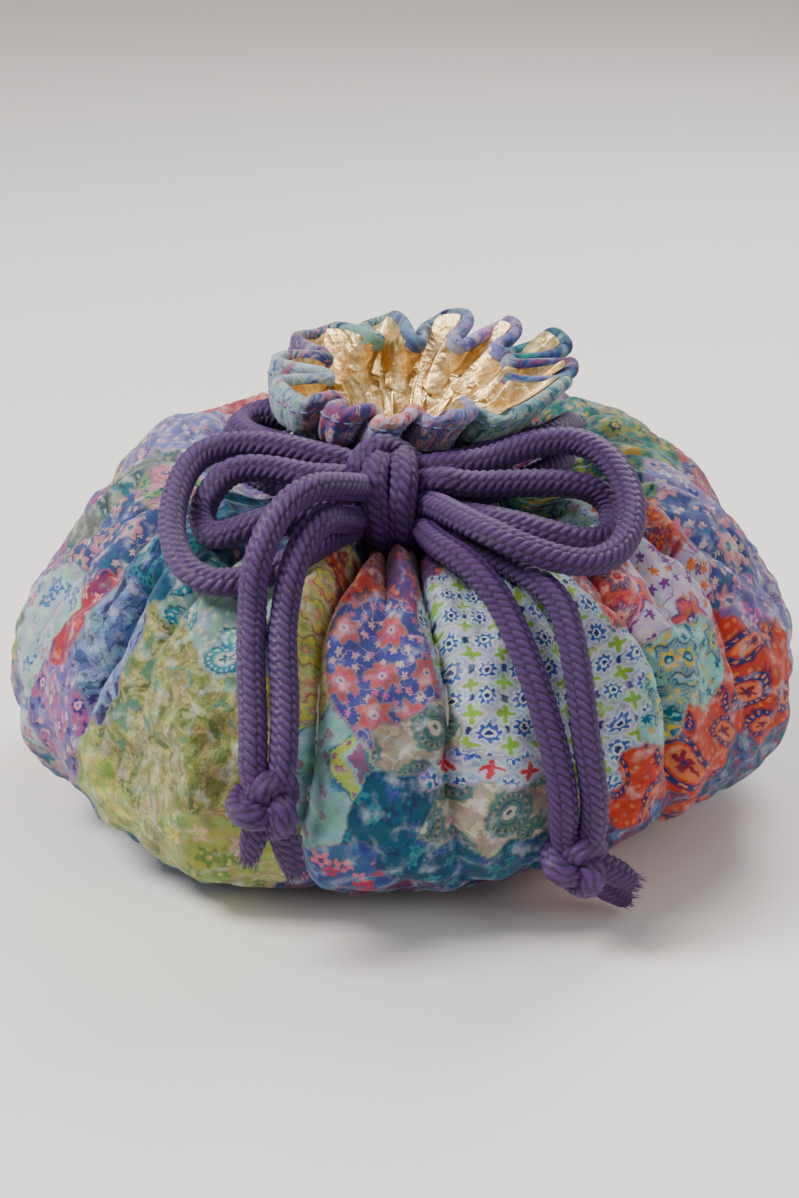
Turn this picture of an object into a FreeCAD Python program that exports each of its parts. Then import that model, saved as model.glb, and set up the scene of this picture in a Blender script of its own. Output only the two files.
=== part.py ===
import FreeCAD, Part
import math
import os

import Sketcher
from FreeCAD import Vector

# Drawstring pouch, millimetres. +Z is up, the front faces -Y, and the origin is the
# middle of the round base, on the surface the pouch stands on.

DIMENSIONS = (
    ("base_radius", 46.0),
    ("underside_radius", 70.0),
    ("underside_angle", 43.0),
    ("waist_bend", 20.0),
    ("flank_radius", 52.0),
    ("shoulder_angle", 47.0),
    ("crown_radius", 32.0),
    ("valley_height", 75.0),
    ("neck_radius", 27.0),
    ("neck_top", 104.5),
    ("frill_rise", 11.0),
    ("hem_height", 5.0),
    ("velvet", 1.4),
    ("interlining", 2.0),
    ("lining", 0.8),
    ("layer_gap", 0.1),
    ("seam_allowance", 3.0),
    ("gathers_radius", 9.0),
    ("channel_radius", 18.3),
    ("channel_floor", 86.2),
    ("channel_ceiling", 103.4),
    ("cord_diameter", 6.6),
    ("casing_ring_radius", 21.9),
    ("casing_bend_radius", 6.6),
    ("strand_spacing", 3.6),
    ("exit_reach", 28.5),
    ("left_slot_height", 98.4),
    ("right_slot_height", 91.6),
    ("slot_half_length", 8.0),
    ("slot_half_height", 3.5),
    ("buttonhole_width", 1.1),
    ("buttonhole_thickness", 0.6),
    ("thread_radius", 0.3),
    ("bow_knot_radius", 10.5),
    ("end_knot_radius", 7.8),
)

# Centres of the knots.
BOW_KNOT = (-3.0, -42.0, 90.0)
END_KNOTS = {
    "left_end_knot": (-30.0, -104.0, 38.4),
    "right_end_knot": (39.7, -98.0, 21.0),
}

# Strands of cord from end to end, as the points their centre line bends at.
ROUTES = {
    "left_lead_1": (
        (-28.5, -3.6, 98.4), (-36, -3.6, 98.4), (-40.5, -10.5, 98.7), (-38, -19.5, 98.7),
        (-30, -26.5, 98.3), (-19.5, -31, 97), (-9, -34.5, 94)),
    "left_lead_2": (
        (-28.5, 3.6, 98.4), (-36, 3.6, 98.4), (-42, -1, 94), (-42.5, -11, 91.3),
        (-37, -22, 90), (-29, -31, 89.3), (-20, -36, 88.6), (-11.5, -38, 87.5)),
    "right_lead_1": (
        (28.5, -3.6, 91.6), (36, -3.6, 91.6), (40.5, -10.5, 91.2), (37.5, -20.5, 90.4),
        (28.5, -29.5, 89.6), (17, -34.5, 88.4), (5, -36, 86.8)),
    "right_lead_2": (
        (28.5, 3.6, 91.6), (36, 3.6, 91.6), (42, -1, 95.8), (42, -11, 98.3),
        (36.5, -21.5, 98.8), (27.5, -28, 98.2), (16.5, -31.5, 96.5), (4, -34.5, 93.2)),
    "left_tail_top_1": (
        (-6, -51.7, 93.7), (-11, -60, 98), (-19.5, -68.5, 101.5), (-26, -75, 99.5),
        (-30.3, -80, 93.5), (-33.2, -83, 85.5), (-33.6, -84, 76.5)),
    "left_tail_top_2": (
        (-6.5, -51, 86.5), (-10.5, -60.5, 90.5), (-17, -69, 94), (-22, -76, 91.5),
        (-24.8, -81, 85), (-26.4, -84, 76.5)),
    "right_tail_top_1": (
        (0, -52, 86.5), (4.5, -59, 85), (9, -66, 86), (14.5, -72, 84.5),
        (19.5, -77.5, 81), (23, -80.8, 76.6)),
    "right_tail_top_2": (
        (3.8, -46.3, 82), (10.5, -53.5, 83.2), (18, -61, 84.4), (25.5, -68, 82.2),
        (32, -74.8, 79.8), (36.5, -80.8, 76.6)),
    "left_loop_outer": (
        (-14, -40, 98.5), (-20, -38.5, 99.3), (-30.5, -35, 100.8), (-41.5, -33, 100.5),
        (-50.5, -37, 98), (-54.5, -52, 89.5), (-51.5, -67, 82), (-43, -73.5, 79),
        (-32, -72, 80.8), (-22, -65.5, 84.2), (-17, -57.5, 85), (-14, -51, 84.2)),
    "left_loop_inner": (
        (-14, -46.5, 96.5), (-21, -45.5, 96), (-31, -42, 97.2), (-39.5, -41, 97),
        (-44.5, -42.5, 93), (-48, -45.5, 86.5), (-44.5, -53, 83), (-35.5, -56, 87.5),
        (-24.5, -54, 90.5), (-14, -51, 91)),
    "right_loop_outer": (
        (8, -40, 97.5), (13.5, -40.5, 97.5), (21, -38, 98), (31, -34.5, 101.2),
        (42.5, -34, 102), (51, -42, 98.5), (54.5, -55, 91.5), (51, -67, 85.5),
        (42, -74.5, 84.2), (30.5, -75.5, 87.6), (20, -71, 90.9), (12, -61.5, 91.7),
        (8, -51, 90.8)),
    "right_loop_inner": (
        (8, -47, 96.5), (15, -47.2, 94.6), (26, -44.5, 94.3), (37.5, -43, 94),
        (46, -41.5, 92), (50.5, -44, 87.5), (50, -50.5, 83.8), (44, -55.5, 83.2),
        (35.5, -57.5, 85.8), (25.5, -55.5, 88), (16, -50.5, 88), (9.2, -44.6, 87.6)),
    "left_tail_1": (
        (-33.6, -84, 76.5), (-34, -89, 69.5), (-33.5, -94.5, 61), (-33, -100.5, 53),
        (-33.3, -104, 45.4)),
    "left_tail_2": (
        (-26.4, -84, 76.5), (-26.8, -89, 69.5), (-26, -94.5, 61), (-26, -100.5, 53),
        (-26.6, -104, 45.4)),
    "right_tail_1": (
        (23, -80.8, 76.6), (26.5, -87, 70.5), (30, -92.5, 62.5), (33, -96.5, 53.5),
        (35.5, -99.5, 44), (36.6, -100.5, 35.5), (36.3, -99, 28.2)),
    "right_tail_2": (
        (36.5, -80.8, 76.6), (38.5, -87, 69.5), (40, -92.5, 61.5), (41, -97, 52.5),
        (42.6, -99.5, 43), (43.6, -100, 35.5), (43.1, -98.6, 28.4)),
    "left_cord_tip_1": ((-33.2, -104, 31.6), (-34, -103.6, 25.5)),
    "left_cord_tip_2": ((-26.4, -104, 31.6), (-24.6, -103.6, 24)),
    "right_cord_tip_1": ((46.5, -97.2, 19.6), (52.5, -92.5, 14)),
    "right_cord_tip_2": ((42, -92.6, 16), (52, -83.5, 5)),
}

# A moving tail starts with a round end, and the fixed strand above stops short of it.
TAIL_PIVOTS = ("left_tail_1", "left_tail_2", "right_tail_1", "right_tail_2")
FIXED_ABOVE_PIVOT = ("left_tail_top_1", "left_tail_top_2", "right_tail_top_1", "right_tail_top_2")
PIVOT_CLEARANCE = 0.3
ARC_SHARE = 0.45
VOLUME_TOLERANCE = 0.02

doc = FreeCAD.newDocument("DrawstringPouch")
sheet = doc.addObject("Spreadsheet::Sheet", "Dimensions")
sub_parts = []


def fill_sheet():
    """Write every driving dimension into the sheet as a number with an alias."""
    for row, (alias, value) in enumerate(DIMENSIONS, start=1):
        sheet.set("A%d" % row, alias)
        sheet.set("B%d" % row, str(value))
        sheet.setAlias("B%d" % row, alias)
    doc.recompute()


def size(alias):
    """The number that a sheet cell holds."""
    return float(sheet.get(alias))


def bound(expression):
    """The expression with each alias written as a reference to the sheet."""
    words = {alias for alias, _ in DIMENSIONS}
    out = ""
    word = ""
    for letter in expression + " ":
        if letter.isalnum() or letter == "_":
            word += letter
            continue
        out += ("Dimensions." + word) if word in words else word
        out += letter
        word = ""
    return out.strip()


def value_of(expression):
    """The present value of an expression over the sheet's aliases."""
    result = sheet.evalExpression(bound(expression))
    return float(getattr(result, "Value", result))


def origin_plane(body, role):
    """One of the body's own origin planes, found by its role."""
    return next(item for item in body.Origin.OriginFeatures if item.Role == role)


def new_body(label):
    body = doc.addObject("PartDesign::Body", label)
    body.Label = label
    sub_parts.append(body)
    return body


def new_sketch(body, name, role):
    sketch = body.newObject("Sketcher::SketchObject", name)
    sketch.AttachmentSupport = (origin_plane(body, role), [""])
    sketch.MapMode = "FlatFace"
    return sketch


def arc_centre(start, end, radius, turn):
    """Centre of the short arc between two points; turn is +1 for counterclockwise."""
    half = (end - start) * 0.5
    rise = math.sqrt(max(radius * radius - half.Length ** 2, 0.0))
    side = Vector(-half.y, half.x, 0).normalize() * turn
    return start + half + side * rise


def constrain(sketch, kind, geometry, end, expression):
    """Fix one coordinate of a point to an expression, or put it on the axis."""
    value = value_of(expression)
    if abs(value) < 1e-9:
        axis = -2 if kind == "DistanceX" else -1
        sketch.addConstraint(Sketcher.Constraint("PointOnObject", geometry, end, axis))
        return
    number = sketch.addConstraint(Sketcher.Constraint(kind, geometry, end, value))
    sketch.setExpression("Constraints[%d]" % number, bound(expression))


def draw_outline(sketch, outline):
    """Closed outline of corners (x, y) or (x, y, radius, turn), the arc leading to the next."""
    corners = [Vector(value_of(c[0]), value_of(c[1]), 0) for c in outline]
    ends = []
    for i, corner in enumerate(outline):
        start, end = corners[i], corners[(i + 1) % len(corners)]
        if len(corner) == 2:
            geometry = sketch.addGeometry(Part.LineSegment(start, end))
            ends.append((geometry, 1, 2))
            continue
        radius, turn = value_of(corner[2]), corner[3]
        centre = arc_centre(start, end, radius, turn)
        first, last = (start, end) if turn > 0 else (end, start)
        circle = Part.Circle(centre, Vector(0, 0, 1), radius)
        angles = [math.atan2(p.y - centre.y, p.x - centre.x) for p in (first, last)]
        geometry = sketch.addGeometry(Part.ArcOfCircle(circle, angles[0], angles[1]))
        ends.append((geometry, 1, 2) if turn > 0 else (geometry, 2, 1))
        number = sketch.addConstraint(Sketcher.Constraint("Radius", geometry, radius))
        sketch.setExpression("Constraints[%d]" % number, bound(corner[2]))
    for i, corner in enumerate(outline):
        geometry, start, end = ends[i]
        following = ends[(i + 1) % len(ends)]
        sketch.addConstraint(Sketcher.Constraint("Coincident", geometry, end, following[0], following[1]))
        constrain(sketch, "DistanceX", geometry, start, corner[0])
        constrain(sketch, "DistanceY", geometry, start, corner[1])


def revolve(body, name, outline):
    """Turn an outline of (radius, height) corners round the pouch's axis."""
    sketch = new_sketch(body, name + "_profile", "XZ_Plane")
    draw_outline(sketch, outline)
    feature = body.newObject("PartDesign::Revolution", name)
    feature.Profile = sketch
    feature.ReferenceAxis = (sketch, ["V_Axis"])
    feature.Angle = 360.0
    doc.recompute()
    return feature


def wall_points(depth):
    """Corners of the pouch wall at a depth below its outer surface, base to neck."""
    turned = "(%s)" % depth
    waist_x = "(base_radius + (underside_radius - waist_bend) * sin(underside_angle))"
    waist_z = "(underside_radius - (underside_radius - waist_bend) * cos(underside_angle))"
    flank_x = "(%s + waist_bend - flank_radius)" % waist_x
    crown_x = "(%s + (flank_radius - crown_radius) * cos(shoulder_angle))" % flank_x
    crown_z = "(%s + (flank_radius - crown_radius) * sin(shoulder_angle))" % waist_z
    under = "(underside_radius - %s)" % turned
    flank = "(flank_radius - %s)" % turned
    crown = "(crown_radius - %s)" % turned
    valley = "(valley_height - %s)" % turned
    return {
        "base": ("base_radius", depth, under, 1),
        "under": (
            "base_radius + %s * sin(underside_angle)" % under,
            "underside_radius - %s * cos(underside_angle)" % under,
            "waist_bend - %s" % turned, 1),
        "waist": ("%s + waist_bend - %s" % (waist_x, turned), waist_z, flank, 1),
        "shoulder": (
            "%s + %s * cos(shoulder_angle)" % (flank_x, flank),
            "%s + %s * sin(shoulder_angle)" % (waist_z, flank),
            crown, 1),
        "valley": ("%s - sqrt(%s^2 - (%s - %s)^2)" % (crown_x, crown, valley, crown_z), valley),
    }


def wall_up(depth):
    """The wall's outline from its base edge up to the valley round the neck."""
    points = wall_points(depth)
    return [points[key] for key in ("base", "under", "waist", "shoulder", "valley")]


def wall_down(depth):
    """The same line from the valley back down to the base edge."""
    up = wall_up(depth)
    down = []
    for i in range(len(up) - 1, 0, -1):
        down.append((up[i][0], up[i][1], up[i - 1][2], -1))
    down.append(up[0][:2])
    return down


def frill_line(depth, height):
    """A point on the frill's slope, which flares at 45 degrees from the neck's top."""
    return ("neck_radius + %s - neck_top - (%s) * sqrt(2)" % (height, depth), height)


def cut_slot(body, name, height, reversed_way):
    """Cut the slot that a cord's two strands leave the casing by."""
    sketch = new_sketch(body, name + "_outline", "YZ_Plane")
    draw_outline(sketch, slot_outline(height, "0"))
    before = body.Shape.Volume
    pocket = body.newObject("PartDesign::Pocket", name)
    pocket.Profile = sketch
    pocket.Reversed = reversed_way
    pocket.setExpression("Length", bound("neck_radius * 1.5"))
    doc.recompute()
    if body.Shape.Volume >= before:
        raise RuntimeError(name + " removed nothing")


def slot_outline(height, margin):
    """A slot with round ends, wider than the slot in the wall by a margin all round."""
    end_radius = "(slot_half_height + %s)" % margin
    straight = "(slot_half_length - slot_half_height)"
    tip = "(slot_half_length + %s)" % margin
    top = "%s + %s" % (height, end_radius)
    bottom = "%s - %s" % (height, end_radius)
    return [
        ("-" + straight, bottom),
        (straight, bottom, end_radius, 1),
        (tip, height, end_radius, 1),
        (straight, top),
        ("-" + straight, top, end_radius, 1),
        ("-" + tip, height, end_radius, 1),
    ]


def make_side_panel():
    body = new_body("side_panel")
    rim = "(neck_top + frill_rise)"
    hem = "(%s - hem_height)" % rim
    folded = "2 * velvet + layer_gap"
    inner_neck = "neck_radius - velvet"
    outline = wall_up("0")
    outline += [("neck_radius", "valley_height"), ("neck_radius", "neck_top")]
    outline += [frill_line("0", rim), frill_line(folded, rim), frill_line(folded, hem)]
    outline += [frill_line("velvet", hem), (inner_neck, "neck_top + velvet * (sqrt(2) - 1)")]
    outline += [(inner_neck, "valley_height - velvet")]
    outline += wall_down("velvet")
    revolve(body, "side_panel_shell", outline)
    cut_slot(body, "left_slot", "left_slot_height", False)
    cut_slot(body, "right_slot", "right_slot_height", True)


def make_side_interlining():
    outer = "velvet + layer_gap"
    inner = "velvet + layer_gap + interlining"
    edge = "neck_radius - velvet - layer_gap"
    outline = wall_up(outer) + [(edge, "valley_height - (%s)" % outer)]
    outline += [(edge, "valley_height - (%s)" % inner)] + wall_down(inner)
    revolve(new_body("side_interlining"), "side_interlining_shell", outline)


def make_side_lining():
    outer = "velvet + interlining + 2 * layer_gap"
    inner = "velvet + interlining + lining + 2 * layer_gap"
    edge = "neck_radius - velvet - layer_gap"
    hem = "(neck_top + frill_rise - hem_height - layer_gap)"
    shelf = "(channel_ceiling + lining)"
    slope_out = "velvet + layer_gap"
    slope_in = "velvet + layer_gap + lining"
    outline = wall_up(outer) + [(edge, "valley_height - (%s)" % outer), (edge, "channel_floor")]
    outline += [("channel_radius", "channel_floor"), ("channel_radius", "channel_ceiling")]
    outline += [(edge, "channel_ceiling")]
    outline += [(edge, "neck_top - velvet - layer_gap + (%s) * sqrt(2)" % slope_out)]
    outline += [frill_line(slope_out, hem), frill_line(slope_in, hem), frill_line(slope_in, shelf)]
    outline += [("gathers_radius", shelf), ("gathers_radius", "valley_height - (%s)" % inner)]
    outline += wall_down(inner)
    revolve(new_body("side_lining"), "side_lining_shell", outline)


def make_disc(label, radius, bottom, thickness):
    """One round layer of the base."""
    body = new_body(label)
    sketch = new_sketch(body, label + "_outline", "XY_Plane")
    sketch.AttachmentOffset = FreeCAD.Placement(Vector(0, 0, value_of(bottom)), FreeCAD.Rotation())
    sketch.setExpression("AttachmentOffset.Base.z", bound(bottom))
    circle = sketch.addGeometry(Part.Circle(Vector(0, 0, 0), Vector(0, 0, 1), value_of(radius)))
    sketch.addConstraint(Sketcher.Constraint("Coincident", circle, 3, -1, 1))
    number = sketch.addConstraint(Sketcher.Constraint("Radius", circle, value_of(radius)))
    sketch.setExpression("Constraints[%d]" % number, bound(radius))
    pad = body.newObject("PartDesign::Pad", label + "_layer")
    pad.Profile = sketch
    pad.setExpression("Length", bound(thickness))
    doc.recompute()


def make_base():
    make_disc("base_panel", "base_radius - layer_gap", "0", "velvet")
    make_disc("base_interlining", "base_radius - seam_allowance", "velvet + layer_gap", "interlining")
    lining_bottom = "velvet + interlining + 2 * layer_gap"
    make_disc("base_lining", "base_radius - layer_gap", lining_bottom, "lining")


def make_thread(label, radius, height):
    """A line of stitching as one thread round the pouch."""
    thread = doc.addObject("Part::Torus", label)
    thread.Label = label
    thread.setExpression("Radius1", bound(radius))
    thread.setExpression("Radius2", bound("thread_radius"))
    thread.setExpression("Placement.Base.z", bound(height))
    sub_parts.append(thread)


def make_threads():
    clear = "(thread_radius + layer_gap)"
    make_thread("base_seam_thread", "base_radius - seam_allowance / 2", "velvet + " + clear)
    make_thread("casing_lower_stitching", "neck_radius + " + clear, "channel_floor - thread_radius")
    make_thread("casing_upper_stitching", "neck_radius + " + clear, "neck_top - 2 * thread_radius")
    drop = "frill_rise - hem_height / 2"
    radius = "neck_radius + %s + %s * sqrt(0.5)" % (drop, clear)
    make_thread("rim_topstitching", radius, "neck_top + %s - %s * sqrt(0.5)" % (drop, clear))


def make_buttonhole(label, height, reversed_way):
    """The stitched edge of a slot: a ring with round ends that follows the neck's curve."""
    body = new_body(label)
    sketch = new_sketch(body, label + "_outline", "YZ_Plane")
    draw_outline(sketch, slot_outline(height, "buttonhole_width"))
    draw_outline(sketch, slot_outline(height, "0"))
    pad = body.newObject("PartDesign::Pad", label + "_pad")
    pad.Profile = sketch
    pad.Reversed = reversed_way
    pad.setExpression("Length", bound("neck_radius * 1.5"))
    doc.recompute()
    low = "%s - 2 * slot_half_height" % height
    high = "%s + 2 * slot_half_height" % height
    inner = "neck_radius + layer_gap"
    outer = "neck_radius + layer_gap + buttonhole_thickness"
    groove_sketch = new_sketch(body, label + "_curve", "XZ_Plane")
    draw_outline(groove_sketch, [("0", low), (inner, low), (inner, high), ("0", high)])
    far = "neck_radius * 2"
    draw_outline(groove_sketch, [(outer, low), (far, low), (far, high), (outer, high)])
    before = body.Shape.Volume
    groove = body.newObject("PartDesign::Groove", label + "_trim")
    groove.Profile = groove_sketch
    groove.ReferenceAxis = (groove_sketch, ["V_Axis"])
    groove.Angle = 360.0
    doc.recompute()
    if body.Shape.Volume >= before:
        raise RuntimeError(label + " trim removed nothing")


def sweep_tube(path, start, direction):
    """A round tube of the cord's diameter along a wire."""
    circle = Part.Circle(start, direction, size("cord_diameter") / 2)
    profile = Part.Wire([circle.toShape()])
    return Part.Wire(path.Edges).makePipeShell([profile], True, False)


def rounded_path(points):
    """Straight runs joined by tangent arcs, and the radius of each arc."""
    edges = []
    radii = []
    here = points[0]
    for before, corner, after in zip(points, points[1:], points[2:]):
        into = corner - before
        out = after - corner
        reach = ARC_SHARE * min(into.Length, out.Length)
        into.normalize()
        out.normalize()
        turn = into.getAngle(out)
        radii.append(reach / math.tan(turn / 2))
        arc_start = corner - into * reach
        arc_end = corner + out * reach
        towards = (out - into).normalize()
        middle = corner + towards * (radii[-1] / math.cos(turn / 2) - radii[-1])
        edges.append(Part.LineSegment(here, arc_start).toShape())
        edges.append(Part.Arc(arc_start, middle, arc_end).toShape())
        here = arc_end
    edges.append(Part.LineSegment(here, points[-1]).toShape())
    return Part.Wire(edges), radii


def check_tube(label, shape, length):
    """Compare a tube's volume with its section times its length."""
    section = math.pi * (size("cord_diameter") / 2) ** 2
    ratio = shape.Volume / (section * length)
    if abs(ratio - 1) > VOLUME_TOLERANCE:
        raise RuntimeError("%s: volume is %.3f of section times length" % (label, ratio))


def add_solid(label, shape):
    feature = doc.addObject("Part::Feature", label)
    feature.Label = label
    feature.Shape = shape
    feature.Placement = FreeCAD.Placement()
    sub_parts.append(feature)


def make_strand(label, route):
    """One free strand of cord between two knots, or from the casing to a knot."""
    points = [Vector(*point) for point in route]
    if label in FIXED_ABOVE_PIVOT:
        last = points[-1] - points[-2]
        shorter = last.Length - size("cord_diameter") / 2 - PIVOT_CLEARANCE
        points[-1] = points[-2] + last.normalize() * shorter
    path, radii = rounded_path(points)
    shape = sweep_tube(path, points[0], points[1] - points[0])
    check_tube(label, shape, path.Length)
    if label in TAIL_PIVOTS:
        shape = shape.fuse(Part.makeSphere(size("cord_diameter") / 2, points[0])).removeSplitter()
    smallest = min(radii) if radii else 0.0
    print("%s: length %.1f, smallest arc %.1f" % (label, path.Length, smallest))
    add_solid(label, shape)


def casing_path(side, height):
    """A cord's course round the neck: in through the slot, round the ring and out again."""
    ring = size("casing_ring_radius")
    bend = size("casing_bend_radius")
    lateral = size("strand_spacing")
    reach = size("exit_reach")
    bend_y = lateral + bend
    bend_x = math.sqrt((ring + bend) ** 2 - bend_y ** 2)
    joint = Vector(bend_x, bend_y, 0) * (ring / (ring + bend))
    out = Vector(bend_x, bend_y, 0) - joint
    down = Vector(0, -bend, 0)
    halfway = (out * -1 + down).normalize() * bend
    middle = Vector(bend_x, bend_y, 0) + halfway

    def place(x, y):
        return Vector(side * x, y, height)

    edges = [
        Part.LineSegment(place(reach, -lateral), place(bend_x, -lateral)).toShape(),
        Part.Arc(place(bend_x, -lateral), place(middle.x, -middle.y), place(joint.x, -joint.y)).toShape(),
        Part.Arc(place(joint.x, -joint.y), place(-ring, 0), place(joint.x, joint.y)).toShape(),
        Part.Arc(place(joint.x, joint.y), place(middle.x, middle.y), place(bend_x, lateral)).toShape(),
        Part.LineSegment(place(bend_x, lateral), place(reach, lateral)).toShape(),
    ]
    return Part.Wire(edges)


def make_casing_cord(label, side, height):
    path = casing_path(side, height)
    start = Vector(side * size("exit_reach"), -size("strand_spacing"), height)
    shape = sweep_tube(path, start, Vector(-side, 0, 0))
    check_tube(label, shape, path.Length)
    print("%s: length %.1f" % (label, path.Length))
    add_solid(label, shape)


def make_knot(label, centre, radius):
    """The room that a knot takes up, as a ball."""
    ball = doc.addObject("Part::Sphere", label)
    ball.Label = label
    ball.setExpression("Radius", bound(radius))
    ball.Placement.Base = Vector(*centre)
    sub_parts.append(ball)


def make_cords():
    make_casing_cord("left_cord_in_casing", -1, size("left_slot_height"))
    make_casing_cord("right_cord_in_casing", 1, size("right_slot_height"))
    for label, route in ROUTES.items():
        make_strand(label, route)
    make_knot("bow_knot", BOW_KNOT, "bow_knot_radius")
    for label, centre in END_KNOTS.items():
        make_knot(label, centre, "end_knot_radius")


def check_document():
    """Stop if any object failed or any sub-part isn't a sound solid."""
    for item in doc.Objects:
        if "Invalid" in item.State or "Error" in item.State:
            raise RuntimeError(item.Name + " failed: " + str(item.State))
    for item in sub_parts:
        if item.Shape.isNull() or not item.Shape.isValid() or item.Shape.Volume <= 0:
            raise RuntimeError(item.Label + " has no sound shape")


def export_parts():
    os.makedirs("parts", exist_ok=True)
    for item in sub_parts:
        item.Shape.exportStep(os.path.join("parts", item.Label + ".step"))
    print("wrote %d parts" % len(sub_parts))


fill_sheet()
make_side_panel()
make_side_interlining()
make_side_lining()
make_base()
make_threads()
make_buttonhole("left_buttonhole", "left_slot_height", True)
make_buttonhole("right_buttonhole", "right_slot_height", False)
make_cords()
doc.recompute()
check_document()
export_parts()
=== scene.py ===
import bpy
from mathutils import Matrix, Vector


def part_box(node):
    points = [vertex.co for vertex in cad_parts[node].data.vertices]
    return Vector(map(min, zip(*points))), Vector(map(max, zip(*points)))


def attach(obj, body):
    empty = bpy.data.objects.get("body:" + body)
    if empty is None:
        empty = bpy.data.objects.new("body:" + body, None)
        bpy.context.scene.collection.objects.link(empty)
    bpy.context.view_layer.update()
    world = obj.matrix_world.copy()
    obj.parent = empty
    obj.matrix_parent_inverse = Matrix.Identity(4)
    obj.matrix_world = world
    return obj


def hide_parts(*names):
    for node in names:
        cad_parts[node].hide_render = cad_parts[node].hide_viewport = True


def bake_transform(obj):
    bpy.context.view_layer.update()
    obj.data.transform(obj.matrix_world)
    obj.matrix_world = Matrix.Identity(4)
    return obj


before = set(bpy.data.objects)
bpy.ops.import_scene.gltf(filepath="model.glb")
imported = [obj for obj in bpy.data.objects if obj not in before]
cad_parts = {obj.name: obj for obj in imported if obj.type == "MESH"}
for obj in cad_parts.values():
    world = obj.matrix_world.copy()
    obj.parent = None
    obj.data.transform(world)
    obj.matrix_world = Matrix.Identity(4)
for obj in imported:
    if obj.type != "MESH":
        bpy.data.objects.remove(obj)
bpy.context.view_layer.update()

import math

import bpy
import numpy as np
from mathutils import Vector

TURN = 2 * math.pi

# ------------------------------------------------------------------ sizes, in millimetres
# The outline of the pouch from the base seam up to the neck: radius, height.
PROFILE = (
    (46.5, 0.6), (54, 1.2), (64, 4.0), (75, 8.0), (84, 12.5), (91, 17), (96, 22), (99, 28),
    (100, 34), (99.3, 41), (98, 48), (95.5, 55), (91.5, 62), (86.5, 68.5), (80.5, 74),
    (73, 78), (66, 80), (58, 80.3), (50, 79.4), (42, 77.8), (36, 77.2), (31, 79),
    (28.3, 83), (27.5, 88), (27.2, 95), (27.2, 100),
)
COLUMNS = 1008
ROW_STEP = 0.8
INNER_STEP = 2.4
FRILL_LENGTH = 19
FRILL_ROWS = 26
FRILL_FRONT = 106.6
FRILL_BACK_RISE = 6.8
FRILL_DROOP = 3.6
FRILL_LEAN = 5
RIM_RADIUS = 1.7
THROAT_RADIUS = 11.0
THROAT_DEPTH = 13
LINING_INSET = 3.4
BACK_LIFT = 9
FRONT_DROP = 1.5

# Creases: angle from the front in degrees (right is positive), depth, where it has faded
# out (millimetres up the cloth from the base seam), and degrees of drift on the way down.
CREASES = (
    (-176, 7, 60, 2), (-163, 4.5, 98, -1), (-150, 7.5, 55, 3), (-136, 5, 85, -2),
    (-124, 6.5, 70, 2), (-110, 4.5, 95, 1), (-97, 7.5, 58, 2), (-84, 5, 85, -1),
    (-71, 8, 50, -3), (-60, 5, 88, 1), (-46, 8, 58, -6), (-36, 6.5, 78, -5),
    (-25, 4.5, 95, -2), (-11, 9.5, 22, -3), (-3.5, 5.5, 98, 0), (4, 8.5, 45, 4),
    (12, 3.5, 104, 4), (20, 6.5, 66, 13), (37, 9, 42, 6), (47, 5, 92, 3),
    (58, 7.5, 60, 2), (70, 5, 90, 2), (83, 7.5, 55, -2), (97, 5, 88, 2),
    (111, 7.5, 60, -3), (126, 5, 92, 2), (141, 7, 62, -2), (156, 5, 90, 1),
    (170, 6, 75, -1),
)

# Frill folds: angle where the fold starts, how far in the valley there reaches, how far
# out the fold after it reaches, and how much that fold bulges sideways.
LOBES = (
    (-84, 18, 39, 0.55), (-44, 25, 37.5, 0.3), (-22, 25, 37, 0.45), (-2, 19, 37.5, 0.3),
    (26, 20, 40.5, 0.85), (74, 17, 38.5, 0.5), (98, 15, 40, 0.5), (130, 20, 38, 0.35),
    (153, 12, 39, 0.5), (184, 11, 38, 0.45), (212, 15, 40, 0.5), (246, 22, 38, 0.35),
)

# Where the shoulder slopes down more: angle, half width in degrees, drop.
SLOPES = ((-98, 42, 6.5), (92, 24, 5.0), (35, 20, 1.5))

# Where the pouch sags to the table: angle, half width in degrees, drop.
SAGS = ((-38, 34, 6.0), (5, 30, 3.5), (-150, 50, 3.0), (110, 40, 2.5))

# Soft dents in the cloth: angle, distance up the cloth, half width, half height, depth.
DENTS = (
    (7, 76, 7, 14, 4.0), (-40, 70, 14, 9, 2.5), (28, 62, 15, 8, 2.4), (-62, 60, 9, 14, 2.6),
    (52, 74, 8, 16, 2.8), (-22, 60, 9, 14, 2.2), (80, 62, 12, 10, 2.6), (110, 80, 14, 10, 3.0),
    (-95, 66, 12, 12, 2.8), (-130, 70, 15, 10, 2.6), (150, 72, 12, 13, 2.8), (178, 60, 14, 12, 2.4),
)

# Rounded waves all over the body of the cloth: height, seed, fewest and most waves in a
# turn, number of waves, and the distance up the cloth over which they drift.
BODY_WAVES = ((1.5, 3, 3, 8, 7, 160), (1.2, 5, 9, 18, 9, 60), (0.5, 7, 20, 44, 12, 26))

# The simulation's own coarse cloth, and how high its crumples may stand.
SIM_COLUMNS = 288
SIM_STEP = 2.6
SIM_FRAMES = 22
CRUMPLE_LIMIT = 2.4

# The cords: thickness, rings and sides of the mesh, and the braid's ribs.
CORD = 6.6
RINGS_PER_MM = 4
SIDES = 48
RIB_PITCH = 2.05
RIB_COLUMNS = 6
KNOT_CORD_RADIUS = 3.35
CASING_RADIUS = 21.9
EXIT_RADIUS = 28.4
EXIT_HEIGHT = {"left": 98.4, "right": 91.6}
SIDE_SIGN = {"left": -1, "right": 1}

# The mesh of one stitch.
STITCH_RINGS = 7
STITCH_SIDES = 8


def blend_step(value, low, high):
    """0 below low, 1 above high, smooth between."""
    part = np.clip((value - low) / (high - low), 0, 1)
    return part * part * (3 - 2 * part)


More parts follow.
